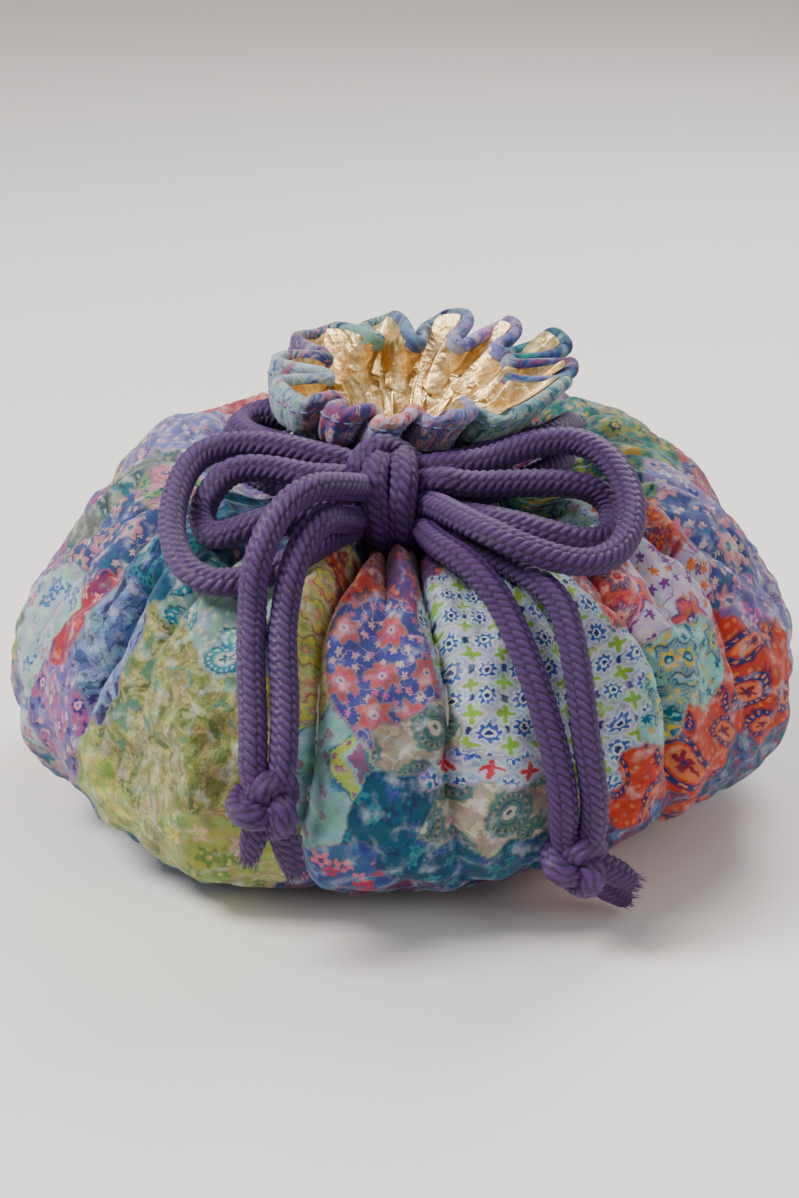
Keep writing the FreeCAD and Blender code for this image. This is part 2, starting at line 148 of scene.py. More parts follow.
def between(value, start, full, fade, end):
    """0 below start, 1 from full to fade, 0 above end, smooth between."""
    return blend_step(value, start, full) * (1 - blend_step(value, fade, end))


def turned_from(angle, centre):
    """How far an angle is from a centre, between half a turn left and half a turn right."""
    return (angle - centre + math.pi) % TURN - math.pi


def bell(angle, centre, wide):
    """1 at a centre and fading to each side of it, over a half width; both in degrees."""
    return np.exp(-(turned_from(angle, math.radians(centre)) / math.radians(wide)) ** 2)


def about_axis(radius, angle, height):
    """Points round the pouch's upright axis, at angles from the front."""
    return np.stack([radius * np.sin(angle), -radius * np.cos(angle), height], -1)


def unit(vectors):
    return vectors / np.linalg.norm(vectors, axis=-1, keepdims=True)


def run_along(line):
    """The distance from a line's start to each of its points."""
    return np.concatenate([[0], np.cumsum(np.linalg.norm(np.diff(line, axis=0), axis=1))])


def waves(angle, along, seed, low, high, count, reach):
    """A smooth irregular field, the same at both ends of the turn, about 1 at its peaks."""
    pick = np.random.default_rng(seed)
    total = np.zeros(np.broadcast(angle, along).shape)
    for _ in range(count):
        turns = pick.integers(low, high + 1)
        slope = pick.uniform(-1, 1) * TURN / reach
        total = total + np.cos(turns * angle + slope * along + pick.uniform(0, TURN))
    return total / math.sqrt(2 * count)


def smooth_line(points, step):
    """Points at an even spacing along a smooth curve through the given ones."""
    fixed = np.array(points, float)
    ends = np.vstack([2 * fixed[0] - fixed[1], fixed, 2 * fixed[-1] - fixed[-2]])
    parts = []
    for k in range(len(fixed) - 1):
        a, b, c, d = ends[k], ends[k + 1], ends[k + 2], ends[k + 3]
        t = np.linspace(0, 1, 40, endpoint=False)[:, None]
        parts.append(0.5 * (2 * b + (c - a) * t + (2 * a - 5 * b + 4 * c - d) * t ** 2
                            + (3 * b - a - 3 * c + d) * t ** 3))
    dense = np.vstack(parts + [fixed[-1:]])
    return even_spacing(dense, step)


def even_spacing(dense, step):
    """Points at an even spacing along a line of straight pieces."""
    run = run_along(dense)
    count = max(2, int(round(run[-1] / step)) + 1)
    where = np.linspace(0, run[-1], count)
    return np.stack([np.interp(where, run, dense[:, k]) for k in range(dense.shape[1])], 1)


def profile_rows(step=ROW_STEP):
    """Radius, height, outward normal and distance up the cloth, for each row below the frill."""
    line = smooth_line(PROFILE, step)
    slope = np.gradient(line, axis=0)
    normal = unit(np.stack([slope[:, 1], -slope[:, 0]], 1))
    return line[:, 0], line[:, 1], normal, run_along(line)


def crease_depth(angle, along, radius):
    """How far the cloth is pushed in at each place by the creases, in millimetres."""
    starts = np.radians([c[0] for c in CREASES])
    count = len(CREASES)
    depth_total = np.zeros(np.broadcast(angle, along).shape)
    for k, (_, depth, faded, drift) in enumerate(CREASES):
        left_gap = (starts[k] - starts[k - 1]) % TURN
        right_gap = (starts[(k + 1) % count] - starts[k]) % TURN
        centre = starts[k] + math.radians(drift) * np.clip(150 - along, 0, 120) / 100
        centre = centre + 0.012 * np.sin(along / 9 + k * 2.3)
        offset = turned_from(angle, centre)
        gap = np.where(offset < 0, left_gap, right_gap) * radius * 0.52
        width = np.minimum(gap, 6 + 8 * blend_step(along, 130, 70))
        near = 1 - np.clip(np.abs(offset) * radius / width, 0, 1)
        shape = 1 - np.sqrt(np.clip(1 - near * near, 0, 1))
        soft = near * near
        sharp = blend_step(along, faded, faded + 45)
        strength = blend_step(along, faded - 10, faded + 50)
        strength = strength * (1 - 0.72 * blend_step(along, 148, 172))
        depth_total = np.maximum(depth_total, depth * strength * (sharp * shape + (1 - sharp) * soft))
    return depth_total


def surface_lift(angle, along, radius):
    """How far the cloth stands off the plain outline: creases, bulges and wrinkles."""
    body = between(along, 4, 40, 150, 172)
    lift = 1.5 * between(along, 80, 130, 150, 170) - crease_depth(angle, along, radius)
    for high, *layer in BODY_WAVES:
        lift = lift + high * body * waves(angle, along, *layer)
    gathers = blend_step(along, 105, 140) * (1 - 0.6 * blend_step(along, 155, 172))
    lift = lift + 0.55 * gathers * waves(angle, along, 13, 34, 64, 10, 90)
    lift = lift + 0.16 * blend_step(along, 60, 120) * waves(angle, along, 9, 50, 110, 14, 40)
    for centre, wide, drop in SLOPES:
        lift = lift - drop * between(along, 72, 108, 112, 142) * bell(angle, centre, wide)
    lift = lift + 0.7 * between(along, 0, 6, 12, 34) * waves(angle, along, 11, 34, 60, 8, 50)
    for dent_angle, dent_along, wide, high, deep in DENTS:
        across = turned_from(angle, math.radians(dent_angle)) * radius / wide
        up = (along - dent_along) / high
        lift = lift - deep * np.exp(-across ** 2 - up ** 2)
    return lift


settled = {}


def settle_cloth():
    """Finds, by simulation, how the laid-out folds crumple when the cloth has a little slack."""
    angle = np.linspace(-math.pi, math.pi, SIM_COLUMNS, endpoint=False)
    rows = profile_rows(SIM_STEP)
    start = body_points(angle, rows)
    thing = grid_object("settling_cloth", start)
    hold = thing.vertex_groups.new(name="hold")
    along = rows[3]
    weights = np.clip(0.3 + (1 - blend_step(along, 6, 24)) + blend_step(along, 145, 168), 0, 1)
    for row, weight in enumerate(weights):
        hold.add(list(range(row * SIM_COLUMNS, (row + 1) * SIM_COLUMNS)), float(weight), "REPLACE")
    cloth = thing.modifiers.new("cloth", "CLOTH")
    settings = cloth.settings
    settings.quality = 6
    settings.mass = 0.12
    settings.tension_stiffness = 25
    settings.compression_stiffness = 25
    settings.shear_stiffness = 8
    settings.bending_stiffness = 4
    settings.use_pressure = True
    settings.uniform_pressure_force = 0.5
    settings.shrink_min = -0.06
    settings.vertex_group_mass = "hold"
    settings.pin_stiffness = 0.7
    settings.air_damping = 3
    settings.effector_weights.gravity = 0.15
    cloth.collision_settings.use_collision = False
    cloth.collision_settings.use_self_collision = False
    cloth.point_cache.frame_start = 1
    cloth.point_cache.frame_end = SIM_FRAMES
    for number in range(1, SIM_FRAMES + 1):
        bpy.context.scene.frame_set(number)
    shaped = thing.evaluated_get(bpy.context.evaluated_depsgraph_get()).to_mesh()
    places = np.zeros(len(shaped.vertices) * 3)
    shaped.vertices.foreach_get("co", places)
    moved = places.reshape(start.shape) * 1000 - start
    bpy.data.objects.remove(thing)
    bpy.context.scene.frame_set(1)
    wrinkle = (moved * grid_normals(start)).sum(-1)
    waves_round = np.fft.rfft(wrinkle, axis=1)
    waves_round *= between(np.arange(waves_round.shape[1]), 2, 6, 40, 90)
    wide = np.zeros((len(along), COLUMNS // 2 + 1), complex)
    wide[:, :waves_round.shape[1]] = waves_round
    crumple = np.fft.irfft(wide, COLUMNS, axis=1) * COLUMNS / SIM_COLUMNS
    settled["along"] = along
    settled["lift"] = CRUMPLE_LIMIT * np.tanh(crumple / CRUMPLE_LIMIT)


def settled_lift(angle, along):
    """The simulated crumpling at each place of a grid, in millimetres off the cloth."""
    if not settled:
        return 0.0
    column = np.round((angle[0] + math.pi) / TURN * COLUMNS).astype(int) % COLUMNS
    place = np.interp(along[:, 0], settled["along"], np.arange(len(settled["along"])))
    low = np.clip(np.floor(place).astype(int), 0, len(settled["along"]) - 2)
    part = (place - low)[:, None]
    part = part * part * (3 - 2 * part)
    lift = settled["lift"][:, column]
    return lift[low] * (1 - part) + lift[low + 1] * part


def rows_below(top):
    """Widely spaced rows for an inner layer, up to a distance up the cloth."""
    rows = profile_rows(INNER_STEP)
    return tuple(part[rows[3] < top] for part in rows)


def body_points(angle, rows, inset=0.0):
    """The cloth below the frill as a grid of points, inset along the outline's normal."""
    radius, height, normal, along = (part[:, None] if part.ndim == 1 else part for part in rows)
    grid = angle[None, :]
    lift = surface_lift(grid, along, radius) - inset + settled_lift(grid, along)
    back = (1 - np.cos(grid)) / 2
    tilt = BACK_LIFT * back - FRONT_DROP * (1 - back)
    shoulder = between(along, 72, 118, 132, 170)
    r = radius + lift * normal[:, :1]
    z = height + lift * normal[:, 1:] + tilt * shoulder
    for centre, wide, drop in SAGS:
        z = z - drop * between(along, 4, 40, 48, 84) * bell(grid, centre, wide)
    return about_axis(r, grid, np.maximum(z, 0.35 + inset * 0.6))


def lobe_places(angle):
    """Each column's angle and radius at the frill's rim, and 0 in a valley to 1 on a crest."""
    starts = [lobe[0] for lobe in LOBES] + [LOBES[0][0] + 360]
    inner = [lobe[1] for lobe in LOBES] + [LOBES[0][1]]
    turned = (np.degrees(angle) - starts[0]) % 360 + starts[0]
    at, reach, crest = np.zeros_like(angle), np.zeros_like(angle), np.zeros_like(angle)
    for k, (start, _, outer, bulge) in enumerate(LOBES):
        inside = (turned >= starts[k]) & (turned < starts[k + 1])
        part = (turned[inside] - start) / (starts[k + 1] - start) - 0.5
        out = (1 - np.abs(2 * part) ** 3.2) ** 0.72
        side = part + bulge * np.sin(TURN * part) / TURN
        valley = inner[k] + (inner[k + 1] - inner[k]) * blend_step(part, -0.5, 0.5)
        at[inside] = np.radians(start + (side + 0.5) * (starts[k + 1] - start))
        reach[inside] = valley + (outer - valley) * out
        crest[inside] = out
    return at, soften(reach[None, :, None], 40)[0, :, 0], crest


def frill_points(angle, neck_row):
    """The frill as a grid of points, from the neck up to the rim."""
    at, reach, crest = lobe_places(angle)
    turn_from = np.arctan2(neck_row[:, 0], -neck_row[:, 1])
    turn_by = turned_from(at, turn_from)
    radius_from = np.hypot(neck_row[:, 0], neck_row[:, 1])
    back = (1 - np.cos(at)) / 2
    rim = FRILL_FRONT + FRILL_BACK_RISE * back ** 0.8 - (1 - crest)
    rim = rim + 1.2 * waves(angle, 0 * angle, 21, 5, 16, 6, 100)
    rows = []
    for step in range(1, FRILL_ROWS + 1):
        t = step / FRILL_ROWS
        opened = t ** 0.5 * (0.94 + 0.06 * t)
        turn = turn_from + turn_by * blend_step(np.array(t), -0.1, 0.5)
        radius = radius_from + (reach - radius_from) * opened
        ripple = waves(angle, 0 * angle + 30 * t, 23, 30, 70, 8, 60)
        radius = radius + 0.35 * np.sin(math.pi * t) * ripple
        z = neck_row[:, 2] + (rim - neck_row[:, 2]) * (0.55 * t + 0.45 * t ** 1.4)
        z = z - FRILL_DROOP * crest * (1 - back) * math.sin(math.pi * t ** 0.6) ** 2
        rows.append(about_axis(radius, turn, z) + (FRILL_LEAN * t * t, 0, 0))
    return np.stack(rows)


def grid_normals(points):
    """Unit normals of a grid that closes on itself sideways, pointing out of the pouch."""
    across = np.roll(points, -1, 1) - np.roll(points, 1, 1)
    up = np.gradient(points, axis=0)
    normal = np.cross(across, up)
    return normal / np.maximum(np.linalg.norm(normal, axis=-1, keepdims=True), 1e-9)


def soften(field, passes):
    """Evens a field out sideways round the turn."""
    for _ in range(passes):
        field = 0.5 * field + 0.25 * (np.roll(field, 1, 1) + np.roll(field, -1, 1))
    return field


def rim_rows(points):
    """The turned edge: over the top of the frill and a little way down inside it."""
    normal = unit(soften(grid_normals(points)[-1:], 9)[0])
    up = unit(soften((points[-1] - points[-4])[None], 4)[0])
    top = points[-1]
    rows = []
    for turn in np.linspace(0.3, math.pi, 7):
        rows.append(top - normal * RIM_RADIUS * (1 - math.cos(turn))
                    + up * RIM_RADIUS * math.sin(turn))
    for down in (0.7, 1.4, 2.1):
        rows.append(top - normal * 2 * RIM_RADIUS - up * down)
    return np.stack(rows)


def grid_object(name, points, closed=True):
    """A mesh object from a grid of points in millimetres, rows by columns."""
    rows, columns = points.shape[:2]
    index = np.arange(rows * columns).reshape(rows, columns)
    right = np.roll(index, -1, 1) if closed else index[:, 1:]
    left = index if closed else index[:, :-1]
    faces = np.stack([left[:-1], right[:-1], right[1:], left[1:]], -1).reshape(-1, 4)
    return mesh_object(name, points.reshape(-1, 3), faces)


def add_object(name, data):
    thing = bpy.data.objects.new(name, data)
    bpy.context.scene.collection.objects.link(thing)
    return thing


def mesh_object(name, points, faces):
    """A smooth mesh object from points in millimetres and faces of equal size."""
    mesh = bpy.data.meshes.new(name)
    count = len(faces)
    mesh.vertices.add(len(points))
    mesh.vertices.foreach_set("co", (np.asarray(points) * 0.001).astype(np.float32).ravel())
    sides = faces.shape[1]
    mesh.loops.add(count * sides)
    mesh.loops.foreach_set("vertex_index", faces.astype(np.int32).ravel())
    mesh.polygons.add(count)
    mesh.polygons.foreach_set("loop_start", np.arange(0, count * sides, sides, dtype=np.int32))
    mesh.update(calc_edges=True)
    mesh.shade_smooth()
    return add_object(name, mesh)


def put(thing, name, kind, values):
    """Writes one value for each vertex."""
    field = "vector" if kind == "FLOAT_VECTOR" else "color" if kind == "FLOAT_COLOR" else "value"
    attribute = thing.data.attributes.new(name, kind, "POINT")
    attribute.data.foreach_set(field, np.asarray(values, np.float32).ravel())


# ------------------------------------------------------------------ the printed cloth
# Inks of each printed patch, as screen colours: ground, then three inks.
INKS = {
    "olive": ((152, 152, 84), (98, 112, 52), (206, 200, 132), (96, 144, 116)),
    "lime": ((178, 184, 96), (232, 222, 112), (120, 152, 72), (226, 196, 150)),
    "aqua_paisley": ((140, 176, 172), (38, 142, 164), (204, 212, 190), (30, 88, 112)),
    "navy_leaf": ((134, 166, 202), (24, 34, 88), (92, 112, 172), (66, 42, 116)),
    "violet": ((118, 108, 176), (206, 92, 164), (58, 58, 132), (236, 172, 192)),
    "red_strip": ((192, 52, 62), (238, 96, 70), (70, 60, 130), (240, 170, 160)),
    "pale": ((196, 214, 222), (88, 128, 190), (156, 202, 192), (206, 116, 150)),
    "blue_pink": ((66, 80, 150), (206, 116, 156), (226, 180, 168), (44, 118, 146)),
    "lime_ring": ((148, 186, 124), (226, 120, 182), (242, 222, 150), (48, 110, 130)),
    "grey_taupe": ((122, 132, 126), (68, 96, 102), (176, 180, 166), (56, 130, 142)),
    "coral": ((218, 92, 82), (64, 62, 112), (242, 162, 150), (190, 40, 62)),
    "teal": ((24, 94, 124), (44, 142, 152), (22, 60, 104), (66, 84, 156)),
    "cream": ((216, 208, 136), (242, 214, 78), (166, 188, 118), (222, 140, 120)),
    "red_flower": ((192, 58, 44), (44, 48, 112), (232, 138, 58), (120, 30, 72)),
    "plum": ((112, 62, 124), (222, 112, 62), (192, 60, 112), (60, 60, 142)),
    "violet_blue": ((74, 80, 160), (206, 92, 70), (206, 104, 150), (222, 180, 180)),
    "pale_paisley": ((148, 202, 202), (188, 204, 88), (154, 92, 134), (66, 130, 156)),
    "daisy": ((226, 236, 238), (58, 94, 182), (142, 192, 62), (28, 50, 112)),
    "taupe": ((172, 158, 138), (88, 126, 126), (56, 84, 96), (206, 196, 178)),
    "star": ((210, 224, 234), (34, 74, 182), (206, 48, 62), (20, 142, 172)),
    "red_dots": ((64, 70, 152), (204, 50, 82), (60, 132, 172), (226, 130, 150)),
    "pink_white": ((216, 202, 226), (226, 70, 120), (242, 128, 60), (130, 60, 150)),
    "mint": ((150, 216, 206), (28, 158, 192), (236, 200, 58), (14, 110, 152)),
    "red_paisley": ((218, 68, 44), (38, 48, 122), (242, 132, 80), (152, 30, 62)),
    "navy": ((44, 60, 122), (80, 120, 182), (152, 60, 92), (30, 132, 142)),
    "green_teal": ((58, 142, 132), (172, 192, 70), (28, 80, 112), (228, 182, 60)),
    "lavender": ((126, 132, 196), (70, 90, 172), (212, 160, 202), (236, 222, 212)),
}
PRINT_RADIUS = 100
MOTIFS = ("flower", "daisy", "rosette", "foliage", "paisley", "ditsy")

# Printed patches: angle, distance up the cloth, half width and half height in millimetres,
# inks, motif, size of the motif.
PATCHES = (
    (-36, 82, 26, 26, "olive", "foliage", 1.0), (-27, 52, 16, 14, "lime", "ditsy", 1.2),
    (-47, 60, 14, 14, "lime", "foliage", 0.8), (-30, 110, 18, 14, "aqua_paisley", "paisley", 0.8),
    (-37, 100, 14, 8, "olive", "foliage", 0.7), (-50, 94, 14, 18, "navy_leaf", "foliage", 1.3),
    (-58, 76, 12, 16, "violet", "flower", 0.7), (-60, 94, 5, 18, "red_strip", "ditsy", 0.9),
    (-70, 84, 14, 22, "pale", "ditsy", 1.0), (-70, 118, 18, 13, "blue_pink", "flower", 0.6),
    (-83, 136, 14, 10, "lime_ring", "rosette", 0.6), (-92, 118, 18, 14, "grey_taupe", "paisley", 1.0),
    (-118, 134, 18, 14, "lavender", "flower", 0.7), (-136, 126, 22, 16, "coral", "foliage", 1.0),
    (-48, 120, 14, 12, "teal", "paisley", 0.8), (-15, 112, 8, 24, "cream", "flower", 0.7),
    (-9, 130, 10, 12, "red_flower", "flower", 0.6), (0, 132, 9, 12, "plum", "flower", 0.6),
    (-5, 104, 12, 22, "violet_blue", "flower", 0.7), (-9, 79, 12, 13, "pale_paisley", "paisley", 1.5),
    (12, 104, 12, 27, "daisy", "daisy", 1.0), (28, 94, 18, 26, "daisy", "daisy", 1.0),
    (11, 77, 16, 4, "star", "daisy", 1.1), (30, 70, 12, 3, "star", "daisy", 1.1),
    (2, 86, 10, 7, "taupe", "rosette", 0.9), (12, 67, 15, 9, "taupe", "rosette", 0.9),
    (25, 64, 10, 8, "taupe", "rosette", 0.9), (-2, 71, 12, 9, "teal", "ditsy", 1.0),
    (11, 54, 22, 9, "teal", "ditsy", 0.9), (-9, 50, 14, 12, "red_dots", "ditsy", 1.1),
    (50, 110, 16, 17, "pink_white", "flower", 1.0), (38, 120, 9, 12, "coral", "flower", 0.7),
    (49, 92, 15, 13, "mint", "flower", 0.8), (38, 84, 8, 13, "mint", "flower", 0.8),
    (47, 72, 18, 14, "red_paisley", "paisley", 0.9), (34, 68, 8, 10, "red_paisley", "paisley", 0.7),
    (63, 78, 14, 18, "red_paisley", "paisley", 0.9), (32, 52, 16, 9, "navy", "ditsy", 1.0),
    (72, 110, 14, 14, "blue_pink", "flower", 0.8), (70, 96, 10, 8, "violet", "ditsy", 1.0),
    (82, 84, 14, 14, "lavender", "flower", 0.9), (63, 128, 12, 10, "red_flower", "foliage", 0.8),
    (97, 138, 16, 12, "green_teal", "foliage", 0.9), (126, 130, 20, 14, "green_teal", "flower", 0.8),
    (87, 124, 14, 8, "lavender", "ditsy", 1.0), (100, 100, 20, 18, "violet_blue", "flower", 1.0),
    (106, 66, 22, 16, "mint", "paisley", 1.1), (128, 96, 20, 20, "red_paisley", "flower", 1.1),
    (146, 120, 16, 18, "pale_paisley", "paisley", 1.0), (140, 64, 24, 18, "olive", "foliage", 1.0),
    (162, 92, 20, 22, "daisy", "daisy", 1.0), (178, 124, 20, 16, "navy_leaf", "foliage", 1.1),
    (172, 58, 24, 16, "coral", "ditsy", 1.1), (-166, 92, 20, 20, "taupe", "rosette", 1.0),
    (-146, 98, 18, 18, "blue_pink", "flower", 1.0), (-150, 62, 22, 16, "teal", "paisley", 1.0),
    (-124, 96, 20, 20, "lime_ring", "paisley", 1.0), (-120, 62, 22, 16, "pink_white", "flower", 1.0),
    (-100, 92, 18, 20, "violet", "flower", 0.9), (-92, 62, 20, 16, "green_teal", "foliage", 1.0),
    (-75, 58, 14, 14, "blue_pink", "ditsy", 1.0), (60, 56, 18, 12, "navy", "flower", 0.9),
    (84, 58, 18, 12, "plum", "flower", 0.9), (0, 30, 30, 14, "navy", "ditsy", 1.0),
    (-50, 34, 34, 16, "teal", "ditsy", 1.0), (50, 32, 34, 16, "red_paisley", "paisley", 1.0),
    (100, 32, 34, 16, "lavender", "flower", 1.0), (150, 32, 34, 16, "mint", "flower", 1.0),
    (-160, 32, 34, 16, "plum", "flower", 1.0), (-105, 32, 34, 16, "violet_blue", "flower", 1.0),
    (-66, 205, 24, 16, "pale", "foliage", 0.8), (-46, 196, 13, 14, "blue_pink", "foliage", 0.8),
    (-32, 205, 11, 16, "violet_blue", "ditsy", 0.9), (-12, 209, 11, 8, "pink_white", "ditsy", 0.9),
    (-12, 196, 11, 12, "lavender", "foliage", 0.7), (-12, 178, 14, 12, "aqua_paisley", "ditsy", 1.0),
    (12, 210, 15, 8, "lavender", "foliage", 0.7), (12, 196, 15, 14, "blue_pink", "foliage", 0.6),
    (16, 172, 16, 14, "navy", "ditsy", 1.0), (48, 202, 24, 18, "aqua_paisley", "foliage", 0.6),
    (86, 204, 20, 18, "navy", "foliage", 0.7), (118, 202, 24, 18, "teal", "foliage", 0.8),
    (146, 204, 24, 18, "lavender", "foliage", 0.8), (176, 204, 24, 18, "navy_leaf", "foliage", 0.8),
    (-152, 202, 26, 18, "aqua_paisley", "flower", 0.8), (-122, 204, 26, 18, "blue_pink", "foliage", 0.8),
    (-92, 202, 26, 18, "pale", "foliage", 0.8), (-60, 160, 30, 16, "teal", "foliage", 0.8),
    (-30, 150, 20, 14, "blue_pink", "flower", 0.7), (20, 145, 18, 14, "teal", "flower", 0.7),
    (50, 150, 20, 16, "pale", "ditsy", 1.0), (80, 160, 24, 16, "green_teal", "foliage", 0.8),
    (115, 160, 26, 16, "violet", "flower", 0.8), (150, 158, 26, 18, "coral", "flower", 0.8),
    (-172, 158, 26, 18, "mint", "paisley", 0.8), (-135, 158, 28, 18, "violet_blue", "flower", 0.8),
    (-97, 162, 26, 16, "lavender", "flower", 0.8),
)


def linear(colour):
    """The linear value of a screen colour."""
    value = np.asarray(colour, float) / 255
    return np.where(value <= 0.04045, value / 12.92, ((value + 0.055) / 1.055) ** 2.4)


def dye(colour):
    """A printed ink: the screen colour made richer and darker, as it lies in deep pile."""
    value = linear(colour)
    grey = value.mean()
    return np.clip(grey + (value - grey) * 1.02, 0.004, 1) * 0.58


def print_cloth(thing, angle, along):
    """Writes, for each vertex, the patch it lies in: its inks, motif and own pattern place."""
    angle, along = np.broadcast_arrays(angle, along)
    bent = angle + 0.05 * waves(angle, along, 41, 6, 22, 10, 40)
    bent = bent + 0.012 * waves(angle, along, 43, 40, 90, 9, 10)
    moved = along + 3.2 * waves(angle, along, 45, 6, 24, 10, 40)
    moved = moved + 0.8 * waves(angle, along, 47, 40, 90, 9, 10)
    best = np.full(angle.shape, 1e9)
    chosen = np.zeros(angle.shape, int)
    for k, patch in enumerate(PATCHES):
        across = turned_from(bent, math.radians(patch[0])) * PRINT_RADIUS / patch[2]
        far = np.hypot(across, (moved - patch[1]) / patch[3])
        nearer = far < best
        best[nearer] = far[nearer]
        chosen[nearer] = k
    pick = np.random.default_rng(51)
    inks = np.array([[dye(ink) for ink in INKS[p[4]]] for p in PATCHES])
    kinds = np.array([[p[5] == motif for motif in MOTIFS] for p in PATCHES], float)
    upright = np.array([p[5] == "daisy" for p in PATCHES])
    turns = np.where(upright, np.radians(4), pick.uniform(0, TURN, len(PATCHES)))
    scale = np.array([p[6] for p in PATCHES])
    shift = pick.uniform(0, 400, (len(PATCHES), 2))
    shift[upright] = 0
    x = ((angle - math.pi) % TURN) * PRINT_RADIUS
    cos, sin = np.cos(turns)[chosen], np.sin(turns)[chosen]
    place = np.stack([(x * cos - along * sin) / scale[chosen] + shift[chosen, 0],
                      (x * sin + along * cos) / scale[chosen] + shift[chosen, 1],
                      chosen * 1.0], -1)
    put(thing, "cloth", "FLOAT_VECTOR", place)
    put(thing, "weave", "FLOAT_VECTOR", np.stack([x, along, 0 * x], -1))
    for k, name in enumerate(("ground", "ink_one", "ink_two", "ink_three")):
        solid = np.ones(chosen.shape + (1,))
        put(thing, name, "FLOAT_COLOR", np.concatenate([inks[chosen, k], solid], -1))
    put(thing, "motif_a", "FLOAT_VECTOR", kinds[chosen][..., :3])
    put(thing, "motif_b", "FLOAT_VECTOR", kinds[chosen][..., 3:])


# ------------------------------------------------------------------ materials
class Graph:
    """A material's nodes, with short ways to add the usual ones."""

    def __init__(self, name):
        self.material = bpy.data.materials.new(name)
        self.material.use_nodes = True
        self.tree = self.material.node_tree
        self.shader = self.tree.nodes["Principled BSDF"]

    def add(self, kind, settings=None, **inputs):
        node = self.tree.nodes.new(kind)
        for name, value in (settings or {}).items():
            setattr(node, name, value)
        for name, value in inputs.items():
            self.feed(node.inputs[name.replace("_", " ")], value)
        return node

    def feed(self, socket, value):
        if isinstance(value, bpy.types.NodeSocket):
            self.tree.links.new(value, socket)
        elif value is not None:
            socket.default_value = value

    def math(self, operation, first, second=None, third=None):
        node = self.tree.nodes.new("ShaderNodeMath")
        node.operation = operation
        for socket, value in zip(node.inputs, (first, second, third)):
            self.feed(socket, value)
        return node.outputs[0]

    def vector(self, operation, first, second=None, scale=None):
        node = self.tree.nodes.new("ShaderNodeVectorMath")
        node.operation = operation
        self.feed(node.inputs[0], first)
        self.feed(node.inputs[1], second)
        if scale is not None:
            self.feed(node.inputs["Scale"], scale)
        return node.outputs["Value" if operation in ("LENGTH", "DISTANCE") else "Vector"]

    def attribute(self, name, output="Vector"):
        return self.add("ShaderNodeAttribute", {"attribute_name": name}).outputs[output]

    def parts(self, vector):
        return self.add("ShaderNodeSeparateXYZ", Vector=vector).outputs

    def step(self, value, low, high):
        node = self.add("ShaderNodeMapRange", {"interpolation_type": "SMOOTHSTEP"}, Value=value)
        self.feed(node.inputs["From Min"], low)
        self.feed(node.inputs["From Max"], high)
        return node.outputs[0]

    def mix(self, factor, first, second, mode="MIX"):
        node = self.add("ShaderNodeMix", {"data_type": "RGBA", "blend_type": mode})
        self.feed(node.inputs[0], factor)
        self.feed(node.inputs[6], first)
        self.feed(node.inputs[7], second)
        return node.outputs[2]

    def noise(self, place, scale, detail=2.0, distortion=0.0, output=0):
        node = self.add("ShaderNodeTexNoise", Vector=place, Scale=scale, Detail=detail)
        self.feed(node.inputs["Distortion"], distortion)
        return node.outputs[output]

    def drift(self, place, scale, detail, reach):
        """A random shift that varies smoothly from place to place."""
        centred = self.vector("SUBTRACT", self.noise(place, scale, detail, 0.0, 1), (0.5, 0.5, 0.5))
        return self.vector("SCALE", centred, scale=reach)

    def bump(self, height, distance, strength=1.0, under=None):
        node = self.add("ShaderNodeBump", Height=height, Distance=distance, Strength=strength)
        if under is not None:
            self.feed(node.inputs["Normal"], under)
        return node.outputs[0]

    def near(self, value, centre, outer, inner):
        """1 where a value lies within inner of a centre, 0 where it is further off than outer."""
        return self.step(self.math("ABSOLUTE", self.math("SUBTRACT", value, centre)), outer, inner)

    def shift(self, place, x, y):
        return self.vector("ADD", place, (x, y, 0.0))

    def set(self, **values):
        for name, value in values.items():
            self.shader.inputs[name.replace("_", " ")].default_value = value

    def cells(self, place, size, scatter):
        """Each point's distance from, turn about and random value of its nearest motif centre."""
        scaled = self.vector("SCALE", place, scale=1 / size)
        node = self.add("ShaderNodeTexVoronoi", {"voronoi_dimensions": "2D"}, Vector=scaled, Scale=1.0)
        self.feed(node.inputs["Randomness"], scatter)
        offset = self.parts(self.vector("SUBTRACT", scaled, node.outputs["Position"]))
        turn = self.math("ARCTAN2", offset[1], offset[0])
        return node.outputs["Distance"], turn, self.parts(node.outputs["Color"])


def petals(g, far, turn, chance, count, size, depth):
    """1 inside a flower of that many petals, 0 outside."""
    swing = g.math("COSINE", g.math("MULTIPLY_ADD", turn, count, g.math("MULTIPLY", chance, 6.0)))
    edge = g.math("MULTIPLY_ADD", swing, depth, size)
    return g.step(g.math("SUBTRACT", edge, far), -0.035, 0.035)


